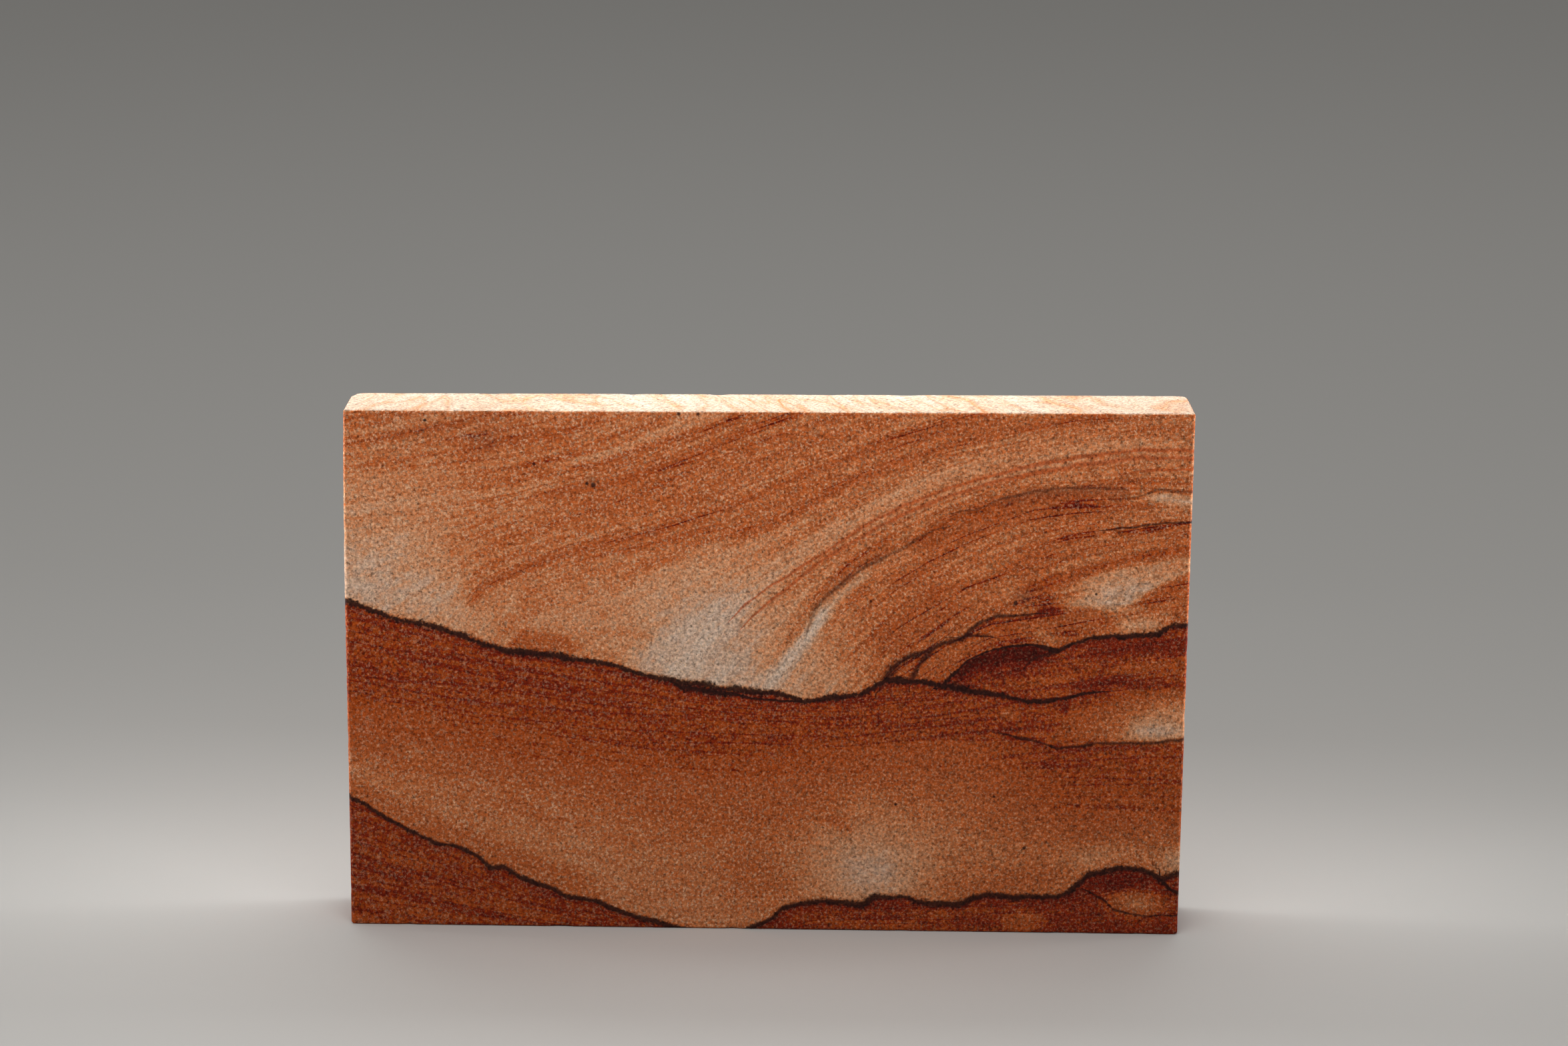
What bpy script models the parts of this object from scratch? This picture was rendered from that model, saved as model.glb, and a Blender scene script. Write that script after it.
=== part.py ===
"""Landscape jasper: one sawn slab of banded, sandy jasper, standing on its long lower edge.

The slab is one piece of stone. X runs along it, Y through its thickness and Z up. The picture face
looks along -Y. The origin is on the ground, under the middle of the slab.
"""

import math

import bmesh
import bpy

MM = 0.001

# Driving sizes of the sawn slab, in millimetres
FOOT_LENGTH = 106.0
HEIGHT_LEFT = 67.3
HEIGHT_RIGHT = 68.2
THICKNESS_LEFT = 11.2
THICKNESS_RIGHT = 11.6

# How far the upper corners stand out past the foot, in millimetres
TOP_LEFT_OUT = 0.2
TOP_RIGHT_OUT = -0.1

# The left edge swells a little in its upper half, in millimetres
LEFT_SWELL = 0.17

# The foot's middle stands this far right of the whole slab's middle, because of the left edge's lean
# and swell
FOOT_MIDDLE = 0.157

# Rounding of the four upright arrises, in millimetres: the two at the back are worn
FRONT_UPRIGHT = 0.5
BACK_LEFT_WORN = 2.0
BACK_RIGHT_WORN = 1.2

# Rounding of the arrises round the top and the foot, in millimetres, and how unevenly they crumbled
LEVEL_ARRIS = 0.38
CRUMBLE = 0.12
# The crumbling comes and goes in waves: radians a millimetre, and where each starts
CRUMBLE_WAVES = ((0.53, 0.4), (1.31, 2.1), (2.37, 4.4))
# What a millimetre through the slab counts for, against one along it, so that the two faces differ
CRUMBLE_THROUGH = 1.7

# How finely the surface is divided
ALONG_PARTS = 42
THROUGH_PARTS = 4
SIDE_ROWS = 10
ARC_STEPS = 4
ARRIS_STEPS = 3
SHARP_DEGREES = 35

# The stone's average colour on the picture face, linear, and how dull it is
STONE_COLOUR = (0.30, 0.105, 0.047, 1.0)
STONE_ROUGHNESS = 0.88


def clear_scene():
    for thing in list(bpy.data.objects):
        bpy.data.objects.remove(thing, do_unlink=True)


def left_end(up):
    """X of the left edge at this share of the height."""
    swell = LEFT_SWELL * math.sin(math.pi * up * up)
    return FOOT_MIDDLE - FOOT_LENGTH / 2 - TOP_LEFT_OUT * up - swell


def right_end(up):
    """X of the right edge at this share of the height."""
    return FOOT_MIDDLE + FOOT_LENGTH / 2 + TOP_RIGHT_OUT * up


def across(x):
    """Share of the way from the foot's left end to its right end."""
    return (x - FOOT_MIDDLE + FOOT_LENGTH / 2) / FOOT_LENGTH


def height(x):
    """Height of the sawn top above this X."""
    return HEIGHT_LEFT + (HEIGHT_RIGHT - HEIGHT_LEFT) * across(x)


def half_thickness(x):
    return (THICKNESS_LEFT + (THICKNESS_RIGHT - THICKNESS_LEFT) * across(x)) / 2


def corner_arc(centre_x, centre_y, radius, start_degrees):
    """A quarter circle in plan, counter-clockwise."""
    points = []
    for step in range(ARC_STEPS + 1):
        angle = math.radians(start_degrees + 90 * step / ARC_STEPS)
        points.append((centre_x + radius * math.cos(angle), centre_y + radius * math.sin(angle)))
    return points


def between(start, end, parts):
    """Evenly spaced points that part the way from start to end, leaving both out."""
    points = []
    for index in range(1, parts):
        share = index / parts
        points.append((start[0] + (end[0] - start[0]) * share, start[1] + (end[1] - start[1]) * share))
    return points


def crumble(x, y):
    """How much deeper than usual the arris has crumbled at this place round the slab."""
    along = x + CRUMBLE_THROUGH * y
    waves = sum(math.sin(along * rate + phase) for rate, phase in CRUMBLE_WAVES)
    return CRUMBLE * waves / len(CRUMBLE_WAVES)


def plan_outline(up, inset):
    """The slab's outline in plan at this share of its height, drawn in by inset, counter-clockwise."""
    left = left_end(up) + inset
    right = right_end(up) - inset
    half_left = half_thickness(left) - inset
    half_right = half_thickness(right) - inset
    front = FRONT_UPRIGHT - inset
    back_left = BACK_LEFT_WORN - inset
    back_right = BACK_RIGHT_WORN - inset
    corners = [
        corner_arc(left + front, -half_left + front, front, 180),
        corner_arc(right - front, -half_right + front, front, 270),
        corner_arc(right - back_right, half_right - back_right, back_right, 0),
        corner_arc(left + back_left, half_left - back_left, back_left, 90),
    ]
    outline = []
    for index, corner in enumerate(corners):
        following = corners[(index + 1) % len(corners)]
        parts = THROUGH_PARTS if index % 2 else ALONG_PARTS
        outline += corner
        outline += between(corner[-1], following[0], parts)
    return outline


def arris_rows():
    """The share of a quarter turn at each row that rounds the foot, from its level face outwards."""
    return [step / ARRIS_STEPS for step in range(ARRIS_STEPS + 1)]


def ring(up, turn, from_top):
    """One level loop of points, in millimetres.

    turn is 0 where the rounding meets the level face and 1 where it meets the upright faces.
    """
    angle = math.radians(90 * turn)
    points = []
    inset_share = 1 - math.sin(angle)
    drop_share = 1 - math.cos(angle)
    for x, y in plan_outline(up, LEVEL_ARRIS * inset_share):
        radius = LEVEL_ARRIS + crumble(x, y)
        if from_top:
            z = height(x) - radius * drop_share
        else:
            z = radius * drop_share
        points.append((x, y, z))
    return points


def side_ring(up):
    """One level loop of points on the upright faces, in millimetres."""
    return [(x, y, height(x) * up) for x, y in plan_outline(up, 0)]


def slab_rings():
    """Every loop of points from the foot to the top."""
    rings = [ring(0, turn, False) for turn in arris_rows()]
    rings += [side_ring(row / SIDE_ROWS) for row in range(1, SIDE_ROWS)]
    rings += [ring(1, turn, True) for turn in reversed(arris_rows())]
    return rings


def stone_material():
    """Sandy jasper, sawn and left unpolished."""
    material = bpy.data.materials.new("sawn jasper")
    material.use_nodes = True
    shader = material.node_tree.nodes["Principled BSDF"]
    shader.inputs["Base Color"].default_value = STONE_COLOUR
    shader.inputs["Roughness"].default_value = STONE_ROUGHNESS
    shader.inputs["Metallic"].default_value = 0
    return material


def make_slab():
    body = bmesh.new()
    loops = []
    for points in slab_rings():
        loops.append([body.verts.new((x * MM, y * MM, z * MM)) for x, y, z in points])
    body.faces.new(reversed(loops[0]))
    body.faces.new(loops[-1])
    for lower, upper in zip(loops, loops[1:]):
        for index, corner in enumerate(lower):
            following = (index + 1) % len(lower)
            body.faces.new((corner, lower[following], upper[following], upper[index]))
    mesh = bpy.data.meshes.new("slab")
    body.to_mesh(mesh)
    body.free()
    mesh.shade_smooth()
    mesh.set_sharp_from_angle(angle=math.radians(SHARP_DEGREES))
    mesh.materials.append(stone_material())
    slab = bpy.data.objects.new("slab", mesh)
    bpy.context.scene.collection.objects.link(slab)
    return slab


def main():
    clear_scene()
    make_slab()


main()
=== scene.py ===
import math
from typing import NamedTuple

import bpy
import numpy as np
from mathutils import Matrix, Vector


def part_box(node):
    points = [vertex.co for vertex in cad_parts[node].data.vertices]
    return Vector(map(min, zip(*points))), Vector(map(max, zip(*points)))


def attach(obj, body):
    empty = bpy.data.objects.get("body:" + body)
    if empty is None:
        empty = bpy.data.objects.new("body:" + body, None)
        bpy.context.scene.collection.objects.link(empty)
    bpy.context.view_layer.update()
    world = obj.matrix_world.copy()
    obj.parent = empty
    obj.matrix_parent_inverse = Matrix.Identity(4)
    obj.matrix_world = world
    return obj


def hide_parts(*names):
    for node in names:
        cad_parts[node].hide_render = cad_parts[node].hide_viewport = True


bl_info = {
    "name": "Landscape jasper slab",
    "version": (1, 0, 0),
    "blender": (4, 5, 0),
    "location": "View3D > Sidebar > Jasper",
    "description": "A sawn slab of sandy landscape jasper, with its picture of ridges and iron bands",
    "category": "Add Mesh",
}

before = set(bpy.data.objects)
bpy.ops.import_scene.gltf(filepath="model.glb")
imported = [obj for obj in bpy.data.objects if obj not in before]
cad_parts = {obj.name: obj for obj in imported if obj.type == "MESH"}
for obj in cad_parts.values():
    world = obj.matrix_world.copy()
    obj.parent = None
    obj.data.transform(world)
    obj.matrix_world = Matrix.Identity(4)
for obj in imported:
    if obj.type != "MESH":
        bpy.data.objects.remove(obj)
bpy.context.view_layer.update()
SLAB_LOW, SLAB_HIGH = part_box("slab")

MM = 0.001


def linear(code):
    """Turns an sRGB hex colour into linear red, green and blue."""
    channels = [int(code[place:place + 2], 16) / 255 for place in (1, 3, 5)]
    return tuple(c / 12.92 if c <= 0.04045 else ((c + 0.055) / 1.055) ** 2.4 for c in channels)


# The slab's own sizes, in millimetres, as its solid has them
FOOT_LENGTH = 106.0
HEIGHT_LEFT = 67.3
HEIGHT_RIGHT = 68.2
THICKNESS_LEFT = 11.2
THICKNESS_RIGHT = 11.6
TOP_LEFT_OUT = 0.2
TOP_RIGHT_OUT = -0.1
LEFT_SWELL = 0.17
FOOT_MIDDLE = 0.157
FRONT_UPRIGHT = 0.5
BACK_LEFT_WORN = 2.0
BACK_RIGHT_WORN = 1.2
LEVEL_ARRIS = 0.38

# How finely the surface is divided
ALONG_PARTS = 224
THROUGH_PARTS = 22
SIDE_ROWS = 142
ARC_STEPS = 6
ARRIS_STEPS = 5
CAP_STEPS = 11
# Points nearer than this, in millimetres, are one point
WELD_DISTANCE = 0.002

# The surface keeps at least this far inside the solid, in millimetres, and its grain and chips are this
# deep. Chips reach this far from an arris, and are left out where their waves stay under the threshold.
INSIDE = 0.012
GRAIN_DEPTH = 0.035
CHIP_DEPTH = 0.16
CHIP_REACH = 0.55
CHIP_THRESHOLD = 0.35
CHIP_BROAD_SHARE = 0.6
# Points are drawn in towards a core that lies this much deeper than the arrises' rounding
CORE_EXTRA = 0.1

# Smooth unevenness is a sum of this many waves, brought to about -1 to 1 by the gain
WAVE_COUNT = 9
WAVE_GAIN = 1.9
# Each kind is (radians a millimetre, seed)
GRAIN_FINE = (3.1, 11)
GRAIN_BROAD = (1.1, 12)
CHIPS_FINE = (2.6, 21)
CHIPS_BROAD = (0.9, 22)
LINE_WAVES = (2.4, 31)
PLAIN_WAVES = (0.9, 41)

# The picture face is in the plane X, Z. Its zero is the middle of the foot, and all of it is in
# millimetres. Each dark line is a list of (x, z, half width) along it.
RIDGE = (
    (-54, 43.0, 0.45), (-50.8, 42.0, 0.45), (-47.2, 40.6, 0.42), (-42.9, 39.7, 0.42),
    (-38.6, 38.5, 0.45), (-34.8, 37.1, 0.45), (-33.3, 36.6, 0.4), (-31.1, 36.4, 0.5),
    (-27.9, 36.2, 0.55), (-24.7, 35.6, 0.42), (-21.7, 35.2, 0.35), (-20.1, 35.1, 0.35),
    (-16.3, 33.8, 0.4), (-14.7, 33.4, 0.35), (-12.6, 33.1, 0.4), (-10.4, 32.6, 0.5), (-8.3, 32.5, 0.55),
    (-6.1, 32.0, 0.5), (-4.0, 31.9, 0.5), (-0.7, 31.5, 0.48), (1.4, 31.5, 0.38), (4.6, 30.4, 0.35),
    (9.1, 31.1, 0.45), (11.8, 31.4, 0.42), (13.2, 32.2, 0.4), (14.9, 33.4, 0.45), (19.1, 33.2, 0.38),
    (21.4, 32.9, 0.45), (23.8, 32.6, 0.65), (26.1, 32.0, 0.45), (30.7, 31.4, 0.36), (32.9, 30.8, 0.33),
    (36.0, 30.9, 0.3), (39.9, 31.9, 0.22), (42.9, 32.3, 0.08),
)
RIDGE_SPLIT = (
    (-12.4, 32.9, 0.15), (-10.8, 32.15, 0.5), (-8.3, 31.7, 0.65), (-5.6, 31.35, 0.55),
    (-3.6, 31.1, 0.25), (-2.0, 30.8, 0.2), (0.0, 30.5, 0.2), (4.0, 30.4, 0.15),
)
BRANCH = (
    (14.9, 33.4, 0.55), (15.7, 34.8, 0.42), (16.8, 35.8, 0.3), (18.2, 36.6, 0.28), (20.0, 37.1, 0.32),
    (21.9, 38.2, 0.24),
    (24.7, 39.1, 0.25), (25.6, 40.1, 0.2), (26.8, 41.0, 0.25), (28.4, 41.8, 0.22), (31.5, 42.0, 0.16),
    (34.8, 42.4, 0.05),
)
BRANCH_FOOT = ((20.6, 37.2, 0.3), (19.5, 36.0, 0.2), (18.8, 34.9, 0.2), (18.4, 33.6, 0.34))
BRANCH_SPUR = ((24.4, 39.1, 0.2), (26.0, 39.35, 0.15), (28.4, 39.2, 0.05))
SECOND = (
    (22.2, 33.1, 0.4), (24.2, 34.8, 0.2), (25.3, 36.1, 0.12), (26.9, 36.9, 0.14), (29.8, 37.9, 0.2),
    (33.0, 38.3, 0.15), (34.6, 37.9, 0.25), (36.3, 37.4, 0.4), (38.4, 38.4, 0.34), (40.6, 39.1, 0.34),
    (44.0, 39.5, 0.36), (47.3, 39.5, 0.33), (49.2, 39.9, 0.36), (50.9, 40.9, 0.4), (54, 41.1, 0.4),
)
SECOND_SPUR = ((36.0, 37.2, 0.2), (34.2, 36.7, 0.16), (33.0, 35.9, 0.16), (32.2, 35.0, 0.04))
LOW_RIGHT = (
    (29.4, 26.7, 0.08), (31.2, 26.2, 0.14), (33.5, 25.8, 0.14), (35.2, 25.2, 0.1), (37.0, 24.7, 0.14),
    (39.2, 24.9, 0.16), (41.5, 25.4, 0.18), (49.5, 25.6, 0.18), (54, 26.3, 0.2),
)
THIN = ((41.4, 53.0, 0.04), (43.5, 53.4, 0.09), (45.8, 53.6, 0.1), (49.4, 54.2, 0.11), (54, 54.3, 0.11))
LEFT_HILL = (
    (-54, 17.5, 0.24), (-50.7, 15.9, 0.24), (-49.0, 14.7, 0.22), (-45.7, 12.9, 0.24),
    (-42.0, 11.0, 0.28), (-39.2, 10.6, 0.24), (-36.4, 9.1, 0.24), (-35.1, 7.8, 0.3), (-33.4, 8.0, 0.28),
    (-31.0, 6.5, 0.28), (-26.8, 5.0, 0.24), (-25.5, 4.1, 0.26), (-21.6, 3.6, 0.28), (-18.4, 2.1, 0.26),
    (-14.2, 0.9, 0.3), (-9.5, -0.2, 0.2),
)
RIGHT_HILL = (
    (-3.0, -0.5, 0.24), (-0.4, 0.9, 0.26), (1.3, 1.7, 0.28), (2.2, 2.8, 0.26), (3.9, 3.5, 0.26),
    (8.3, 4.0, 0.3), (10.3, 3.7, 0.36), (12.7, 3.6, 0.42), (14.1, 4.6, 0.33), (18.1, 4.6, 0.26),
    (21.2, 3.7, 0.33), (25.1, 3.8, 0.4), (26.3, 4.5, 0.3), (28.4, 5.1, 0.33), (31.5, 4.8, 0.36),
    (37.5, 4.9, 0.3), (39.0, 5.7, 0.36), (41.2, 7.9, 0.33), (42.9, 8.4, 0.3), (45.6, 8.9, 0.3),
    (47.8, 8.8, 0.33), (49.2, 8.3, 0.3), (50.8, 7.5, 0.33), (52.2, 8.1, 0.33), (54, 8.3, 0.3),
)
HILL_SPUR = ((50.9, 7.4, 0.3), (51.6, 6.2, 0.16), (53.6, 5.4, 0.16))
HILL_LOW = (
    (40.6, 6.0, 0.06), (43.0, 4.8, 0.12), (44.7, 3.3, 0.12), (46.8, 2.7, 0.12), (49.2, 2.6, 0.1),
    (54, 2.6, 0.08),
)

GREY_UNDER_STREAK = (
    (4.8, 38.4, 0.04), (5.2, 40.4, 0.14), (5.7, 42.0, 0.18), (6.4, 43.3, 0.2), (8.2, 44.9, 0.18),
    (10.0, 46.5, 0.18), (11.4, 47.5, 0.18), (12.9, 48.4, 0.16), (15.7, 49.9, 0.16), (17.5, 50.9, 0.14),
    (18.9, 52.0, 0.14), (20.4, 52.7, 0.12), (23.0, 53.6, 0.03),
)
GREY_RIGHT = ((45.6, 57.4, 0.06), (48.5, 58.4, 0.16), (54, 58.1, 0.14))
GREY_ARCH = (
    (21.0, 54.8, 0.03), (26.0, 55.6, 0.12), (28.5, 56.9, 0.14), (33.0, 58.0, 0.14), (37.0, 58.5, 0.12),
    (44.5, 58.4, 0.03),
)
# Two thin rust-coloured lines that run side by side across the right half, and a third under them
RUST_UPPER = (
    (-5.0, 40.6, 0.04), (-2.9, 43.0, 0.12), (0, 45.2, 0.14), (3.6, 47.6, 0.16), (7.1, 49.9, 0.15),
    (10.4, 52.3, 0.18), (13.6, 54.3, 0.2), (17.9, 56.5, 0.22), (22.1, 58.2, 0.22), (28.6, 60.2, 0.22),
    (34.3, 61.7, 0.22), (40.0, 62.7, 0.22), (46.4, 63.5, 0.22), (54, 63.5, 0.2),
)
RUST_LOWER = (
    (-3.5, 39.8, 0.04), (-1.9, 41.4, 0.12), (0, 43.2, 0.15), (2.9, 45.6, 0.18), (6.4, 48.6, 0.22),
    (9.6, 50.7, 0.24), (13.6, 53.1, 0.24), (17.9, 55.4, 0.22), (22.1, 57.2, 0.22), (28.6, 59.3, 0.24),
    (34.3, 60.6, 0.24), (40.0, 61.7, 0.26), (46.4, 62.5, 0.26), (54, 62.5, 0.24),
)
RUST_THIRD = ((43.0, 60.2, 0.05), (47.0, 60.9, 0.14), (54, 61.2, 0.14))


class LineGroup(NamedTuple):
    """Three lines that reach the material together, in the three parts of one vector.

    The colour is full at inner half widths from a line's middle and gone at outer ones.
    """

    lines: tuple
    inner: float
    outer: float
    strength: float


LINE_GROUPS = {
    "ridges": LineGroup((RIDGE, RIDGE_SPLIT, SECOND), 0.4, 1.4, 0.95),
    "hills": LineGroup((LEFT_HILL, RIGHT_HILL, HILL_SPUR), 0.5, 1.95, 0.93),
    "splits": LineGroup((BRANCH, BRANCH_FOOT, BRANCH_SPUR), 0.2, 2.3, 0.84),
    "thin_lines": LineGroup((LOW_RIGHT, THIN, HILL_LOW), 0.2, 2.3, 0.8),
    "spurs": LineGroup((SECOND_SPUR, SECOND_SPUR, SECOND_SPUR), 0.3, 2.0, 0.7),
    "faint_lines": LineGroup((GREY_UNDER_STREAK, GREY_RIGHT, GREY_ARCH), 0.3, 2.2, 0.5),
}
RUST_GROUP = LineGroup((RUST_UPPER, RUST_LOWER, RUST_THIRD), 0.3, 2.0, 0.8)
# How far, in millimetres, the lines wander from where they are listed
LINE_WANDER = 0.1


class Band(NamedTuple):
    """A soft band of iron along a line. Tone 0 is cream stone and 1 is dark red stone.

    The fades are the shares of its length over which it comes in and goes out.
    """

    points: tuple
    half: float
    tone: float
    strength: float
    fade_in: float = 0.15
    fade_out: float = 0.15


class Patch(NamedTuple):
    """A soft oval of stone of one tone; slope is in degrees."""

    x: float
    z: float
    half_length: float
    half_height: float
    slope: float
    tone: float
    strength: float


SKY_TONE = 0.50
# The mesh softens narrow bands, so they are laid a little stronger than they look
BAND_CONTRAST = 1.12
SKY_PATCHES = (
    Patch(-53, 45, 11, 9, 0, -0.08, 0.95),
    Patch(-50, 52, 13, 7, 15, 0.2, 0.65),
    Patch(-40, 55.5, 9, 2.5, 18, 0.38, 0.5),
    Patch(-41, 42.8, 8, 3.2, -20, 0.02, 0.8),
    Patch(-22, 53, 12, 4, 12, 0.54, 0.7),
    Patch(-16, 58, 9, 3, 18, 0.63, 0.8),
    Patch(-3, 62, 6, 3, 15, 0.60, 0.7),
    Patch(8, 65, 6, 2.5, 18, 0.58, 0.6),
    Patch(-28, 43, 9, 4, 15, 0.37, 0.65),
    Patch(-22, 39, 8, 2.2, -12, 0.30, 0.7),
    Patch(-36.5, 43.5, 2.6, 1.8, 50, 0.58, 0.6),
    Patch(-7, 43, 15, 7, 25, 0.12, 0.75),
    Patch(-8, 38.5, 8, 6.5, 0, -0.1, 0.95),
    Patch(-10, 34.4, 6, 2.4, -12, -0.1, 0.9),
    Patch(-3, 33, 9, 3, -5, -0.12, 0.95),
    Patch(10.5, 44.5, 6, 4, 50, 0.62, 0.8),
    Patch(5, 34.2, 6, 4, 0, 0.16, 0.85),
    Patch(10, 39.5, 4, 4, 50, 0.40, 0.7),
    Patch(18, 58.5, 7, 2.2, 25, 0.40, 0.7),
    Patch(8, 54, 6, 3, 30, 0.42, 0.5),
    Patch(48, 61, 7, 1.8, 0, 0.52, 0.6),
    Patch(42.5, 57.6, 2.8, 1.8, 0, 0.8, 0.8),
    Patch(34, 46, 3.5, 4, 0, 0.72, 0.7),
    Patch(28, 63, 9, 1.6, 14, 0.42, 0.6),
    Patch(21, 41, 5, 4, 40, 0.68, 0.7),
)
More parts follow.
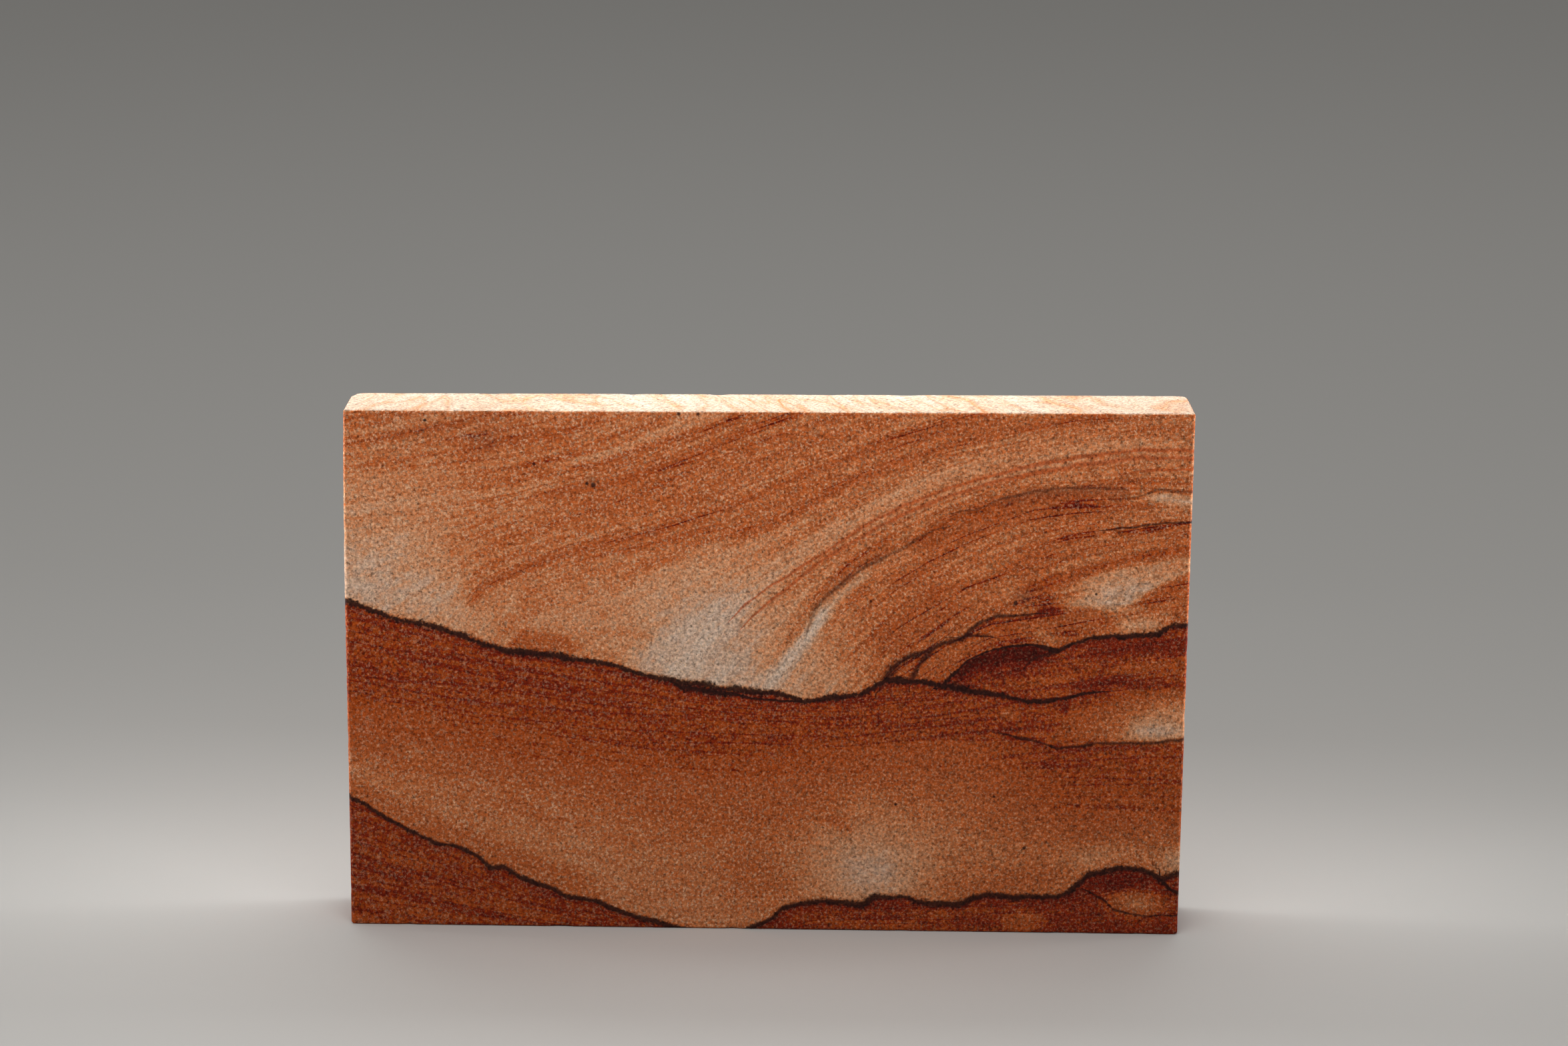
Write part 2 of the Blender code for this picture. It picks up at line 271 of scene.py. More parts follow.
SKY_BANDS = (
    Band(((-54, 63.8), (-48, 65.2), (-44, 65.8), (-38, 67.4)), 0.55, 0.38, 0.7, 0, 0.3),
    Band(((-54, 62.5), (-50, 63.5), (-45, 64.6), (-40.5, 65.5), (-37, 66)), 0.5, 0.62, 0.7, 0, 0.1),
    Band(((-54, 61.4), (-50, 62.2), (-47, 62.8), (-42, 64.2), (-39, 64.9)), 0.5, 0.41, 0.7, 0, 0.3),
    Band(((-52, 60.3), (-45, 60.8), (-41, 62.6)), 0.6, 0.57, 0.6, 0.2, 0.3),
    Band(((-39.5, 61.9), (-37.5, 61.8), (-35, 62.6), (-33.8, 64.2)), 0.8, 0.68, 0.85, 0.2, 0.2),
    Band(((-38.8, 63.8), (-36.5, 64.1), (-34.8, 63.8)), 0.45, 0.64, 0.7, 0.2, 0.2),
    Band(((-32.2, 64.4), (-31.3, 62.4)), 0.8, 0.66, 0.7, 0.1, 0.1),
    Band(((-29.5, 64.0), (-26.5, 64.1), (-24.5, 65.2), (-23, 66), (-20, 67.6)),
         0.6, 0.68, 0.8, 0.15, 0.1),
    Band(((-35.5, 60.5), (-33.3, 60.4)), 0.7, 0.37, 0.7, 0.2, 0.2),
    Band(((-31.5, 60.3), (-29, 60.4), (-25, 61.6), (-20.5, 63.4), (-15.5, 65.5), (-11, 67.3)),
         0.42, 0.64, 0.75, 0.1, 0.1),
    Band(((-28, 60), (-24, 61.2), (-20, 62.2), (-17, 63.4), (-14, 64.8), (-11, 66.2), (-7, 68)),
         0.75, 0.35, 0.9, 0.15, 0.1),
    Band(((-25.8, 60.2), (-22, 60.3), (-20, 61.1), (-14.5, 63.2), (-12, 64.2), (-9, 65), (-4, 66.8),
         (-2, 67.6)), 0.5, 0.66, 0.8, 0.1, 0.1),
    Band(((-14, 62.2), (-10, 63.4), (-6, 65)), 0.5, 0.5, 0.6, 0.2, 0.2),
    Band(((-30, 55.8), (-27, 56.8), (-24.5, 57.5), (-21, 58.1), (-18.5, 58.7), (-14, 60.6),
         (-11.5, 61.1), (-8.5, 62.6), (-5, 64.1), (-1, 66.1), (3, 67.5), (5, 68.3)),
         0.62, 0.78, 0.85, 0.08, 0),
    Band(((-29, 58.6), (-27, 59.2), (-25.5, 59.0), (-24, 58.2)), 0.45, 0.64, 0.7, 0.2, 0.2),
    Band(((-24, 56), (-22, 55.8), (-20.5, 56.2), (-19.7, 57)), 0.5, 0.68, 0.6, 0.2, 0.2),
    Band(((-13, 56), (-7.5, 57)), 0.7, 0.66, 0.5, 0.3, 0.2),
    Band(((-38.2, 41.4), (-37.6, 42.4), (-36, 44.8), (-34.5, 45.6), (-32.5, 46.5), (-30, 47.6),
         (-25, 49.6), (-22, 50.6), (-16, 51.8), (-13, 52.8), (-10, 54), (-7, 55), (-1.5, 57),
         (2, 58.7), (4, 59.9), (9, 61.7), (13.5, 63.8), (18, 65.3), (23, 66.8), (28, 68.2)),
         0.6, 0.77, 0.85, 0.05, 0),
    Band(((-33, 48), (-30, 49.3), (-25, 50.7), (-21.5, 51.6), (-17.5, 52.9), (-10.5, 54.9), (-5, 56.8),
         (-1, 58.6), (4, 60.9), (10, 63.3), (15, 65.6), (20, 67.6)), 0.6, 0.44, 0.75, 0.2, 0),
    Band(((-11.5, 52.6), (-6, 54), (-2, 55.2), (2, 57), (6, 59.2), (9, 60.6)),
         0.9, 0.64, 0.6, 0.2, 0.1),
    Band(((-25.5, 47.9), (-20, 49.3), (-17, 49.8), (-11, 51.8), (-8.5, 52.4), (-5.5, 53.2),
         (-3.5, 54.2)), 0.45, 0.74, 0.75, 0.15, 0.15),
    Band(((-26, 46.8), (-22, 48), (-15, 49.8), (-11, 50.8), (-7.5, 51.6), (-5.5, 52.8), (-2.5, 53.7),
         (0, 54.9), (4, 56.7), (7, 58.2)), 0.45, 0.46, 0.75, 0.2, 0.1),
    Band(((-6.5, 51), (-4.5, 51.9), (-2, 52.5), (0, 53.4), (3.5, 55), (7, 57.2), (9, 58.5), (13, 60),
         (17, 61.9), (21.5, 63.5), (25, 64.8), (28, 65.7), (33, 66.4), (38, 67.2), (42, 68)),
         0.72, 0.76, 0.8, 0.08, 0),
    Band(((1, 56.1), (3, 57.4), (6, 59), (10, 60.3)), 0.4, 0.72, 0.6, 0.2, 0.2),
    Band(((2, 57.5), (4, 58.7), (7, 59.8)), 0.3, 0.55, 0.6, 0.2, 0.2),
    Band(((11, 61.6), (14, 63), (18, 64.1), (21, 65), (24, 65.5), (30, 67.2)),
         0.45, 0.76, 0.7, 0.2, 0.1),
    Band(((15, 61.8), (18, 62.9), (22, 64.3), (25.5, 65.6), (30, 66.5), (33, 67)),
         0.38, 0.47, 0.7, 0.15, 0.2),
    Band(((-17.5, 47.7), (-13, 48.7), (-8, 49.7)), 0.5, 0.62, 0.5, 0.3, 0.4),
    Band(((-3.3, 63.1), (-1.5, 62.2)), 0.9, 0.70, 0.7, 0.2, 0.2),
    Band(((-0.8, 63.8), (1.5, 64.6), (3.5, 65)), 0.5, 0.70, 0.7, 0.2, 0.2),
    Band(((-6.5, 61), (-1, 61.4)), 0.5, 0.6, 0.6, 0.2, 0.2),
    Band(((4.5, 66.6), (7.5, 66.6), (10, 67.6)), 0.6, 0.70, 0.7, 0.2, 0),
    Band(((3.5, 61.7), (6.5, 62)), 0.4, 0.64, 0.6, 0.2, 0.2),
    Band(((2, 47.5), (6, 50.8), (9, 53), (12, 54.6), (16, 57), (20, 58.9), (24, 60.2), (28, 61.1),
         (33, 62.3), (38, 63.2), (45, 64.1), (54, 64.3)), 1.4, 0.32, 0.85, 0.15, 0),
    Band(((0, 44.2), (5, 48.2), (10, 51.6), (18, 56), (28, 59.8), (38, 62), (54, 63)),
         0.8, 0.34, 0.7, 0.1, 0),
    Band(((4, 45), (8, 48.6), (14, 51.9), (22, 55.7), (30, 58.4)), 0.8, 0.42, 0.6, 0.1, 0.2),
    Band(((38, 67.4), (45, 66.4), (54, 66.3)), 0.7, 0.54, 0.6, 0.2, 0),
    Band(((36, 67.6), (43, 67.5)), 0.5, 0.74, 0.7, 0.2, 0.2),
    Band(((42.5, 59.4), (46, 59.3), (50, 59.5)), 0.7, 0.68, 0.7, 0.2, 0.3),
    Band(((48.5, 61), (54, 60.9)), 0.6, 0.58, 0.5, 0.2, 0),
    Band(((16, 50.2), (19, 51.3), (23, 54), (27, 55.6), (31, 56.6), (36, 57.2), (42.5, 57.8)),
         1.35, 0.80, 0.95, 0.12, 0.12),
    Band(((25, 53.8), (30, 54.6), (37, 55.4), (43, 55.9)), 1.2, 0.80, 0.85, 0.15, 0.15),
    Band(((19.5, 50), (22, 51.8), (25.5, 53.2)), 0.6, 0.78, 0.75, 0.2, 0.2),
    Band(((8, 46.2), (11, 48.4), (14.5, 50.6), (17.5, 52.2)), 1.1, 0.68, 0.75, 0.2, 0.3),
    Band(((22, 50.8), (25.5, 52.4), (29, 53.6)), 0.9, 0.84, 0.8, 0.3, 0.3),
    Band(((14.7, 45.8), (16.5, 46.7), (18.5, 47.4), (20, 48.7), (22, 50), (25, 52)),
         0.85, 0.77, 0.8, 0.15, 0.2),
    Band(((22, 53.2), (24.5, 54.2)), 0.4, 0.55, 0.6, 0.2, 0.2),
    Band(((32, 55.6), (34.5, 56)), 0.35, 0.7, 0.6, 0.2, 0.2),
    Band(((30.5, 58.4), (37, 59.4)), 0.5, 0.7, 0.4, 0.3, 0.3),
    Band(((44, 57.9), (47, 58)), 0.6, 0.52, 0.6, 0.2, 0.2),
    Band(((21.3, 46.7), (25.5, 48.6), (28.5, 50.3), (31.5, 52.3), (34.5, 52.8)),
         1.4, 0.46, 0.85, 0.12, 0.2),
    Band(((33, 51), (37.5, 52.6)), 1.0, 0.58, 0.6, 0.3, 0.2),
    Band(((36, 51.4), (38.5, 52), (41.5, 53.2)), 0.8, 0.81, 0.9, 0.2, 0.15),
    Band(((20.2, 44.3), (22, 45.3), (25, 45.8), (28.5, 46.9), (31.5, 49), (35, 50.4), (37, 51)),
         0.55, 0.79, 0.85, 0.1, 0.1),
    Band(((32.5, 49.7), (37, 49.6), (40, 50.6), (43, 51.2), (47, 51.6)), 0.45, 0.76, 0.6, 0.2, 0.2),
    Band(((43, 53), (54, 53.2)), 0.55, 0.73, 0.8, 0.1, 0),
    Band(((43, 52.3), (46, 52.4)), 0.3, 0.6, 0.6, 0.2, 0.2),
    Band(((31, 44.9), (34, 46), (37.5, 47.4)), 1.0, 0.83, 0.8, 0.2, 0.2),
    Band(((31, 45.3), (33, 46.6), (35.5, 47.7), (40, 49.3), (43, 50.2), (46, 50.9), (49, 51.6)),
         0.4, 0.48, 0.7, 0.3, 0.1),
    Band(((24, 44.6), (28, 45.6), (30, 46.2)), 0.6, 0.56, 0.6, 0.2, 0.2),
    Band(((33, 44.8), (35, 46), (37, 46.9), (41, 48.4), (45, 49.5), (50, 50.6), (54, 51.2)),
         0.72, 0.81, 0.9, 0.12, 0),
    Band(((49, 51.9), (54, 52.2)), 0.4, 0.72, 0.6, 0.3, 0),
    Band(((12, 37), (15, 39.6), (18, 42.1), (20.3, 43.7), (22.5, 45)), 0.8, 0.78, 0.85, 0.35, 0.1),
    Band(((15.2, 36.2), (17.5, 38.8), (21, 41.2), (26, 43.2), (31, 44)), 1.1, 0.72, 0.7, 0.1, 0.3),
    Band(((12.9, 33), (13.4, 35), (14.8, 37.6), (16.8, 40.2), (20, 43)), 0.6, 0.70, 0.6, 0.1, 0.3),
    Band(((18.4, 40.6), (21, 42.6), (24, 44.2)), 0.35, 0.58, 0.6, 0.3, 0.3),
    Band(((25, 42.9), (28.5, 43.6)), 0.9, 0.52, 0.7, 0.3, 0.2),
    Band(((11, 42.2), (13.5, 42.5)), 0.6, 0.62, 0.6, 0.3, 0.3),
    Band(((46, 43.2), (48.5, 44.4), (51, 45.8), (54, 46.6)), 1.4, 0.74, 0.9, 0.3, 0),
    Band(((50.5, 42.6), (54, 43.4)), 1.1, 0.70, 0.8, 0.2, 0),
    Band(((49.8, 41.4), (46.5, 41.2), (43.5, 40.8)), 0.8, 0.22, 0.85, 0.25, 0.3),
    Band(((38, 42.2), (41.5, 41.6), (44, 41)), 0.9, 0.80, 0.8, 0.2, 0.3),
    Band(((33, 42.3), (35.5, 42.8), (38.5, 42.5)), 0.9, 0.98, 0.85, 0.2, 0.4),
    Band(((30.5, 44.3), (33, 43.9)), 0.6, 0.62, 0.6, 0.2, 0.3),
    Band(((46.5, 57.6), (49, 57.4), (54, 56.8)), 0.62, 0.05, 0.85, 0.3, 0),
    Band(((43, 54.3), (48, 54.8), (54, 55.2)), 0.75, 0.44, 0.85, 0.15, 0),
    Band(((47.5, 55.8), (54, 56)), 0.6, 0.40, 0.6, 0.3, 0),
    Band(((-33.2, 36.9), (-30.5, 37.9), (-27.6, 38.5), (-25.2, 37.4), (-23.4, 35.9)),
         1.0, 0.80, 0.75, 0.15, 0.2),
    Band(((-31, 37), (-26, 36.6)), 0.6, 0.95, 0.5, 0.2, 0.2),
    Band(((-28, 38.8), (-26.4, 38.8)), 0.4, 0.5, 0.7, 0.3, 0.3),
    Band(((-30, 39.2), (-24, 39.0), (-16, 39.0), (-12.5, 38.3)), 0.6, 0.42, 0.7, 0.15, 0.3),
)

# The pale wedge above the right end of the second line. Soft values here and below are the millimetres
# over which one kind of stone gives way to the next.
WEDGE_TOP = (
    (35.4, 44.9), (37.8, 46.0), (40.2, 47.0), (42.6, 47.8), (45, 48.4), (49.8, 49.4), (54, 50.2),
)
WEDGE_FOOT = (
    (35.4, 43.6), (38, 43.3), (43.5, 42.9), (45, 43.3), (46, 43.8), (47.4, 45.1), (49.8, 46.5),
    (54, 48.2),
)
WEDGE_TONE = 0.16
WEDGE_TOP_SOFT = 1.4
WEDGE_FOOT_SOFT = 0.6
WEDGE_START_SOFT = 3
WEDGE_PATCHES = (
    Patch(37.5, 44.8, 3, 1.8, 20, 0.50, 0.85),
    Patch(44.4, 44.4, 4, 1.4, 12, 0.02, 0.95),
    Patch(51.5, 48.6, 3, 1.2, 22, 0.34, 0.7),
)

# The rounded lobes under the branch line, and where they begin and end
LOBE_TONE = 0.74
LOBES_START = 15
LOBES_END = 44
LOBES_START_SOFT = 0.5
LOBES_END_SOFT = 6
LOBES_TOP_SOFT = 0.4
LOBE_BANDS = (
    Band(((17, 35.4), (19, 36.6), (22, 38), (25.5, 40.4), (30, 41.6), (36, 41.9), (40, 41.2)),
         1.3, 0.76, 0.95, 0.05, 0.1),
    Band(((16.4, 34.6), (18.4, 35.9)), 0.8, 0.66, 0.8, 0.1, 0.2),
    Band(((21.2, 33.8), (22.4, 36.2), (24.6, 37.8), (27.6, 38.3)), 1.5, 0.70, 0.95, 0.02, 0.1),
    Band(((28, 40.4), (31.5, 40.6)), 0.9, 0.76, 0.7, 0.2, 0.2),
    Band(((28.6, 38.9), (32, 40)), 0.6, 0.86, 0.7, 0.3, 0.3),
    Band(((33.4, 39.8), (35.4, 39.1), (37, 38.5)), 0.8, 0.40, 0.95, 0.15, 0.25),
    Band(((38.5, 40), (43, 40.5)), 0.6, 0.62, 0.7, 0.3, 0.3),
)

# The dark red stone below the ridge, and how it pales towards the plain below it
MASS_TONE = 0.87
PLAIN_TONE = 0.47
PLAIN_EDGE = (
    (-54, 22.8), (-42, 23.4), (-30, 21.0), (-21, 19.2), (-12, 16.6), (-3, 16.4), (6, 17.9), (15, 19.8),
    (24, 19.6), (33, 16.8), (42, 13.6), (54, 12.8),
)
PLAIN_EDGE_SOFT = 18.0
PLAIN_EDGE_RAGGED = 2.0
PLAIN_EDGE_STRETCH = 6
# The stone under the low line at the right is darker than the plain, down to about this height
UNDER_LOW_TONE = 0.86
UNDER_LOW_PALER = 0.2
UNDER_LOW_START = 38
UNDER_LOW_START_SOFT = 6
UNDER_LOW_TOP_SOFT = 0.4
UNDER_LOW_FOOT = 14
UNDER_LOW_FOOT_SOFT = 8
MASS_PATCHES = (
    Patch(14.5, 12.5, 8.5, 4.5, 0, 0.38, 0.6),
    Patch(-16, 5, 12, 4, -15, 0.4, 0.5),
    Patch(13.6, 8.0, 6.8, 4.4, 0, -0.02, 0.87),
    Patch(14.5, 6.3, 5, 1, 0, 0.1, 0.6),
    Patch(-51, 19.4, 5, 2, -22, 0.36, 0.6),
    Patch(-8, 2.5, 8, 2.2, -5, 0.40, 0.7),
    Patch(-28, 11, 9, 3.5, -20, 0.42, 0.5),
    Patch(-1.5, 8, 4.5, 4.5, 0, 0.63, 0.7),
    Patch(-15, 18, 8, 3, -8, 0.76, 0.5),
    Patch(41, 9.8, 4, 1.5, 20, 0.18, 0.8),
    Patch(53, 9.9, 2.6, 1.6, 0, 0.0, 0.9),
    Patch(47, 10.6, 5, 1.6, 0, 0.40, 0.7),
    Patch(35, 7.5, 6, 2.2, 12, 0.74, 0.7),
    Patch(26, 6.5, 6, 2.4, 0, 0.62, 0.6),
    Patch(14, 17, 4, 1.6, 0, 0.38, 0.6),
    Patch(43, 28, 4, 1.4, 8, 0.72, 0.6),
    Patch(50, 34.5, 5, 3, 0, 0.80, 0.6),
    Patch(29, 22, 4, 1.5, 0, 0.72, 0.4),
    Patch(44, 19, 12, 5, 0, 0.84, 0.6),
    Patch(52, 29.6, 8, 2.4, 10, 0.30, 0.85),
    Patch(49.5, 27, 7, 1.7, 0, -0.02, 0.95),
)
MASS_BANDS = (
    Band(((-54, 18.9), (-49, 16.3), (-44, 13.6), (-38, 11.6), (-33, 9.3), (-26, 6.4), (-19, 3.8)),
         1.6, 0.66, 0.7, 0, 0.2),
    Band(((36, 28), (42, 27.4), (47, 28)), 1.5, 0.74, 0.6, 0.3, 0.2),
    Band(((29.5, 29.4), (32, 28.8)), 0.6, 0.66, 0.6, 0.2, 0.3),
    Band(((31.5, 27), (36, 26.4), (41, 26.2)), 0.6, 0.76, 0.5, 0.3, 0.3),
    Band(((43, 34.2), (54, 35.6)), 0.9, 0.76, 0.6, 0.4, 0),
    Band(((36, 32.4), (44, 33.4), (54, 33.0)), 0.8, 0.95, 0.5, 0.3, 0),
    Band(((38, 37.4), (46, 38), (54, 38.4)), 1.2, 0.94, 0.6, 0.3, 0),
    Band(((23.4, 33.8), (25.0, 35.4), (27.0, 36.2), (30, 37.0), (33, 37.3), (35.6, 37.0)),
         1.4, 1.06, 0.9, 0.05, 0.1),
    Band(((27, 34.6), (30, 35.4), (33, 36)), 1.2, 0.98, 0.7, 0.3, 0.3),
    Band(((26.3, 33.2), (29.2, 34.2), (31.5, 35.4)), 1.0, 0.84, 0.75, 0.1, 0.25),
    Band(((33, 32.2), (36, 33.4), (39, 35)), 1.4, 0.80, 0.6, 0.1, 0.3),
    Band(((-46, 24), (-44.3, 22.6), (-41, 21)), 0.9, 0.50, 0.7, 0.2, 0.3),
    Band(((-4, 16.8), (0, 15.6), (4, 14.6)), 0.7, 0.74, 0.5, 0.2, 0.2),
    Band(((7, 15.4), (9, 14.6), (11.5, 13.2)), 0.5, 0.74, 0.8, 0.2, 0.2),
    Band(((-38, 18), (-28, 14.6), (-20, 13.4)), 0.7, 0.66, 0.5, 0.3, 0.3),
    Band(((-26, 15.8), (-18, 13.6), (-8, 12.6)), 0.5, 0.48, 0.5, 0.3, 0.3),
    Band(((14, 20.4), (18, 19.9), (21, 20.6)), 0.5, 0.66, 0.5, 0.3, 0.3),
    Band(((37, 30), (38.4, 29.6)), 0.7, 1.04, 0.6, 0.3, 0.3),
)

# The two dark hills along the foot
LEFT_HILL_TONE = 0.88
RIGHT_HILL_TONE = 0.91
HILL_TOP_SOFT = 0.3
LEFT_HILL_END = -8
LEFT_HILL_END_SOFT = 3
RIGHT_HILL_START = -4
RIGHT_HILL_START_SOFT = 2
HILL_PATCHES = (
    Patch(47.5, 4.2, 2.9, 1.3, -5, 0.36, 0.9),
    Patch(45, 7.2, 5, 1.2, 5, 1.04, 0.7),
    Patch(33, 1.8, 2.6, 1.3, 0, 0.66, 0.7),
    Patch(22.8, 2.4, 2, 0.6, 0, 0.76, 0.6),
    Patch(27.5, 3, 1.8, 0.7, 0, 0.84, 0.6),
    Patch(-46, 8.5, 5, 1.0, -10, 0.78, 0.5),
    Patch(-47, 2.0, 11, 3.0, 0, 0.80, 0.5),
    Patch(-31, 1.5, 7, 1.6, -8, 0.82, 0.4),
    Patch(17, 1.0, 11, 1.7, 0, 0.82, 0.5),
    Patch(51.5, 6.8, 1, 0.6, 20, 0.78, 0.7),
    Patch(8, 1.5, 5, 0.6, 0, 0.80, 0.5),
)

# Iron that spread from the dark lines into the sand beside them; its reach in millimetres is for a line
# with a half width of one millimetre
HALO_TONE = 1.0
HALO_STRENGTH = 0.45
HALO_REACH = 1.2
HALO_ABOVE = 0.45

# Pale stone along the steep streak, with grey stone on its upper side
STREAK = Band(((0.2, 32.0), (2.5, 35.6), (4.9, 38.4), (7.0, 41.9), (8.5, 43.7), (9.6, 44.7)), 0.9,
              -0.08, 1, 0, 0.3)
STREAK_END = Band(((8.0, 43.1), (10.2, 45.2), (12.0, 46.8), (13.8, 48)), 0.5, 0.12, 0.75, 0.2, 0.4)
GREY_BANDS = (
    Band(((5.2, 39.6), (6.0, 42.6), (8.4, 45.2), (12.0, 48.0), (16.9, 50.6)), 0.6, 1, 0.3, 0.2, 0.2),
    Band(((27, 56.2), (33.5, 57.8), (40, 58.4), (46, 58)), 0.7, 1, 0.35, 0.2, 0.2),
    Band(((-38, 64), (-33, 63.4)), 1.8, 1, 0.25, 0.3, 0.3),
    Band(((-52, 63.5), (-40, 65.5), (-27, 66.5)), 2.6, 1, 0.12, 0.2, 0.3),
    Band(((30.6, 44.6), (33.4, 44.2)), 0.7, 1, 0.5, 0.2, 0.2),
    Band(((-23.2, 58.8), (-21.6, 58.9)), 0.5, 1, 0.5, 0.2, 0.2),
)

# Grey covers at most this share of the stone's own colour
GREY_STRENGTH = 0.75

# Small holes in the sand, as (x, z, radius), painted dark for the shade in them. The painted shade is full
# at the inner share of the radius and gone at the outer one.
PIT_INNER = 0.6
PIT_OUTER = 1.5
PIT_SHADE_STRENGTH = 0.9
PITS = (
    (-22.0, 58.1, 0.32), (-22.8, 58.3, 0.2), (31.1, 43.6, 0.26), (-11.4, 67.3, 0.22),
    (-9.0, 67.3, 0.22), (-43.0, 66.1, 0.18), (12.9, 43.6, 0.16), (41.2, 44.9, 0.16), (16.5, 17.0, 0.18),
    (33.0, 11.4, 0.2), (29.0, 18.2, 0.16), (-29.4, 60.7, 0.18),
)

# The sawn top is painted paler than the picture face, with the same bands, for the strong light that falls
# on it
TOP_PAINTED_LIGHT_CONTRAST = 0.6
TOP_PAINTED_LIGHT_SHIFT = -0.47
# The top's painted light starts this far below it, in millimetres, and is full this much higher
TOP_STARTS = 0.2
TOP_SOFT = 0.12

# Where the bands of the sky run, from the top down. Fine streaks in the sand follow these lines. Each
# ends with the height that its streaks are counted from.
SKY_FLOW = (
    (((-53, 65.5), (-47, 66.8), (-30, 71), (0, 80), (53, 88)), 74),
    (((-53, 56.5), (-32, 58.5), (-20, 61.2), (-5, 67.2), (20, 76), (53, 82)), 64),
    (((-53, 50), (-35, 54), (-20, 58.7), (-5, 64.2), (3.5, 67.2), (25, 74), (53, 78)), 58),
    (((-39, 41), (-37, 43.8), (-34.7, 45.9), (-30.4, 47.7), (-25, 49.7), (-12, 53.5), (0, 58.2),
     (12, 63.1), (25, 67.4), (53, 72)), 50),
    (((-36.5, 40.5), (-34, 43), (-31, 45), (-26, 47), (-20, 49), (-5, 52.2), (8, 57.5), (22, 63.7),
     (38, 67.2), (53, 68.5)), 46),
    (((-6, 39), (0, 44.6), (9, 51.7), (21, 57.8), (33, 61.9), (46, 63.6), (53, 63.4)), 38),
    (((2.5, 35), (6, 41.7), (11, 47), (20, 52.5), (33, 58), (53, 58.2)), 33),
    (((10, 34), (16, 41), (25, 46.6), (38, 51.7), (53, 54.2)), 27),
    (((17, 36.5), (25, 42.3), (36, 47), (53, 51)), 23),
    (((16, 34.5), (23, 39.5), (28, 42), (37, 43.5), (53, 46)), 20),
)
# How steeply those lines are carried on left of their first point
FLOW_DIP = 1.25
# Lines nearer each other than this, in millimetres, count as this far apart
FLOW_LEAST_GAP = 0.3
# The same below the ridge
LOW_FLOW = (
    (((-53, 42), (-33, 37), (0, 31.5), (22, 33), (30, 37.8), (37, 38), (53, 41)), 10),
    (((-53, 33), (-20, 28.5), (10, 27), (35, 30.5), (53, 33)), 2),
    (((-53, 22), (-35, 16), (-15, 12), (0, 13), (20, 14), (53, 12)), -12),
    (((-53, 16.5), (-30, 6), (-12, 0), (0, 0.5), (6, 4), (35, 5), (46, 8.8), (53, 8)), -20),
    (((-53, -2), (53, -2)), -34),
)

# Bands run through the slab's thickness at a slant: each millimetre further back moves them this much.
# Left of the turn they lean the other way.
BAND_LEAN = 0.34
LEAN_TURNS_AT = -37
LEAN_TURN_WIDTH = 8
# Past the picture's ends the bands run level, straight through the slab
PICTURE_END = 53.4

# The slab's six sides laid flat on a square sheet, in millimetres: the sheet's side, and where the foot's
# middle comes for each. A side is named by the axis it faces, 0 to 2 for X to Z, and by whether it faces
# along that axis or against it.
SHEET = 170.0
SHEET_PLACES = {
    (0, False): (125, 2),
    (0, True): (145, 2),
    (1, False): (57, 2),
    (1, True): (57, 73),
    (2, True): (57, 150),
    (2, False): (57, 163.5),
}


class Bedding(NamedTuple):
    """Noise drawn out along the bands. Length is how far along them, in millimetres."""

    length: float
    scale: float
    detail: float
    roughness: float


# Thin beds of sand, about 0.6 mm thick, short streaks in them, and the beds that hairlines part
STREAKS = Bedding(20, 0.85, 2.0, 0.7)
FINE_STREAKS = Bedding(4, 2.2, 1.0, 0.6)
BEDS = Bedding(34, 0.75, 1.0, 0.5)
# How far all three reach through the slab, in millimetres
BEDDING_THROUGH = 12
# How much tone each kind of unevenness takes away and adds
STREAK_AMOUNT = 0.5
FINE_STREAK_AMOUNT = 0.4
CLOUD_AMOUNT = 0.12
GRAIN_AMOUNT = 0.42
# Sizes in millimetres of the clouds in the sand and of the steps in the lines' edges
CLOUD_SIZE = 2.6
LINE_STEP = 0.8
# How far each noise moves a line's edges, in half widths of the line: steps along it, from grain to grain,
# and where it swells or shrinks
LINE_EDGES = {"steps": 1.0, "hollows": 1.8, "clouds": 1.6}
# Sizes of the grain's noises against one grain, and places that keep them apart from each other
COAT_SIZE = 1.5
GLINT_SIZE = 1.3
GLINT_PLACE = (0.31, 0.77, 0.13)
QUARTZ_SIZE = 1.1
QUARTZ_PLACE = (0.53, 0.21, 0.89)
HOLLOW_SIZE = 1.5
HOLLOW_PLACE = (0.17, 0.43, 0.61)
# The foot's painted shade, which darkens the stone where the light falls off towards its foot, lies under
# the first height and is gone above the second, in millimetres
SHADE_HEIGHTS = (8, 48)
# Ranges for the material, under the numbers of the sockets that they set: 1 and 2 are the two ends of what
# comes in, and 3 and 4 are what these become. First the hairlines: by how far a place is from a bed's edge,
# by how level its face is and by its tone.
HAIRLINE = {1: 0.045, 2: 0.0, 3: 0.0, 4: 0.26}
HAIRLINE_ON_TOP = {1: 0.6, 2: 0.9, 3: 0.0, 4: 1.1}
HAIRLINE_BY_TONE = {1: 0.3, 2: 0.52, 3: 0.0, 4: 1.0}
# How plainly the stone is bedded, by the count of its streaks, and how uneven it is, by its tone
BEDDED_BY_FLOW = {1: 12.0, 2: 18.0, 3: 0.26, 4: 1.0}
UNEVEN_BY_TONE = {1: 0.62, 2: 0.9, 3: 1.0, 4: 0.62}
# How much of the quartz grains shows, by their noise and by the stone's tone
QUARTZ_SHOWN = {1: 0.5, 2: 0.76, 3: 0.0, 4: 0.66}
QUARTZ_BY_TONE = {1: 0.5, 2: 1.05, 3: 1.0, 4: 0.15}
# Brightness of single grains, partly their own colour and partly painted glints and shade of their relief,
# and painted shade in the hollows between them
GLINT_SHADE = {1: 0.3, 2: 0.7, 3: 0.6, 4: 1.4}
HOLLOW_PAINTED_SHADE = {1: 0.3, 2: 0.42, 3: 0.5, 4: 1.0}


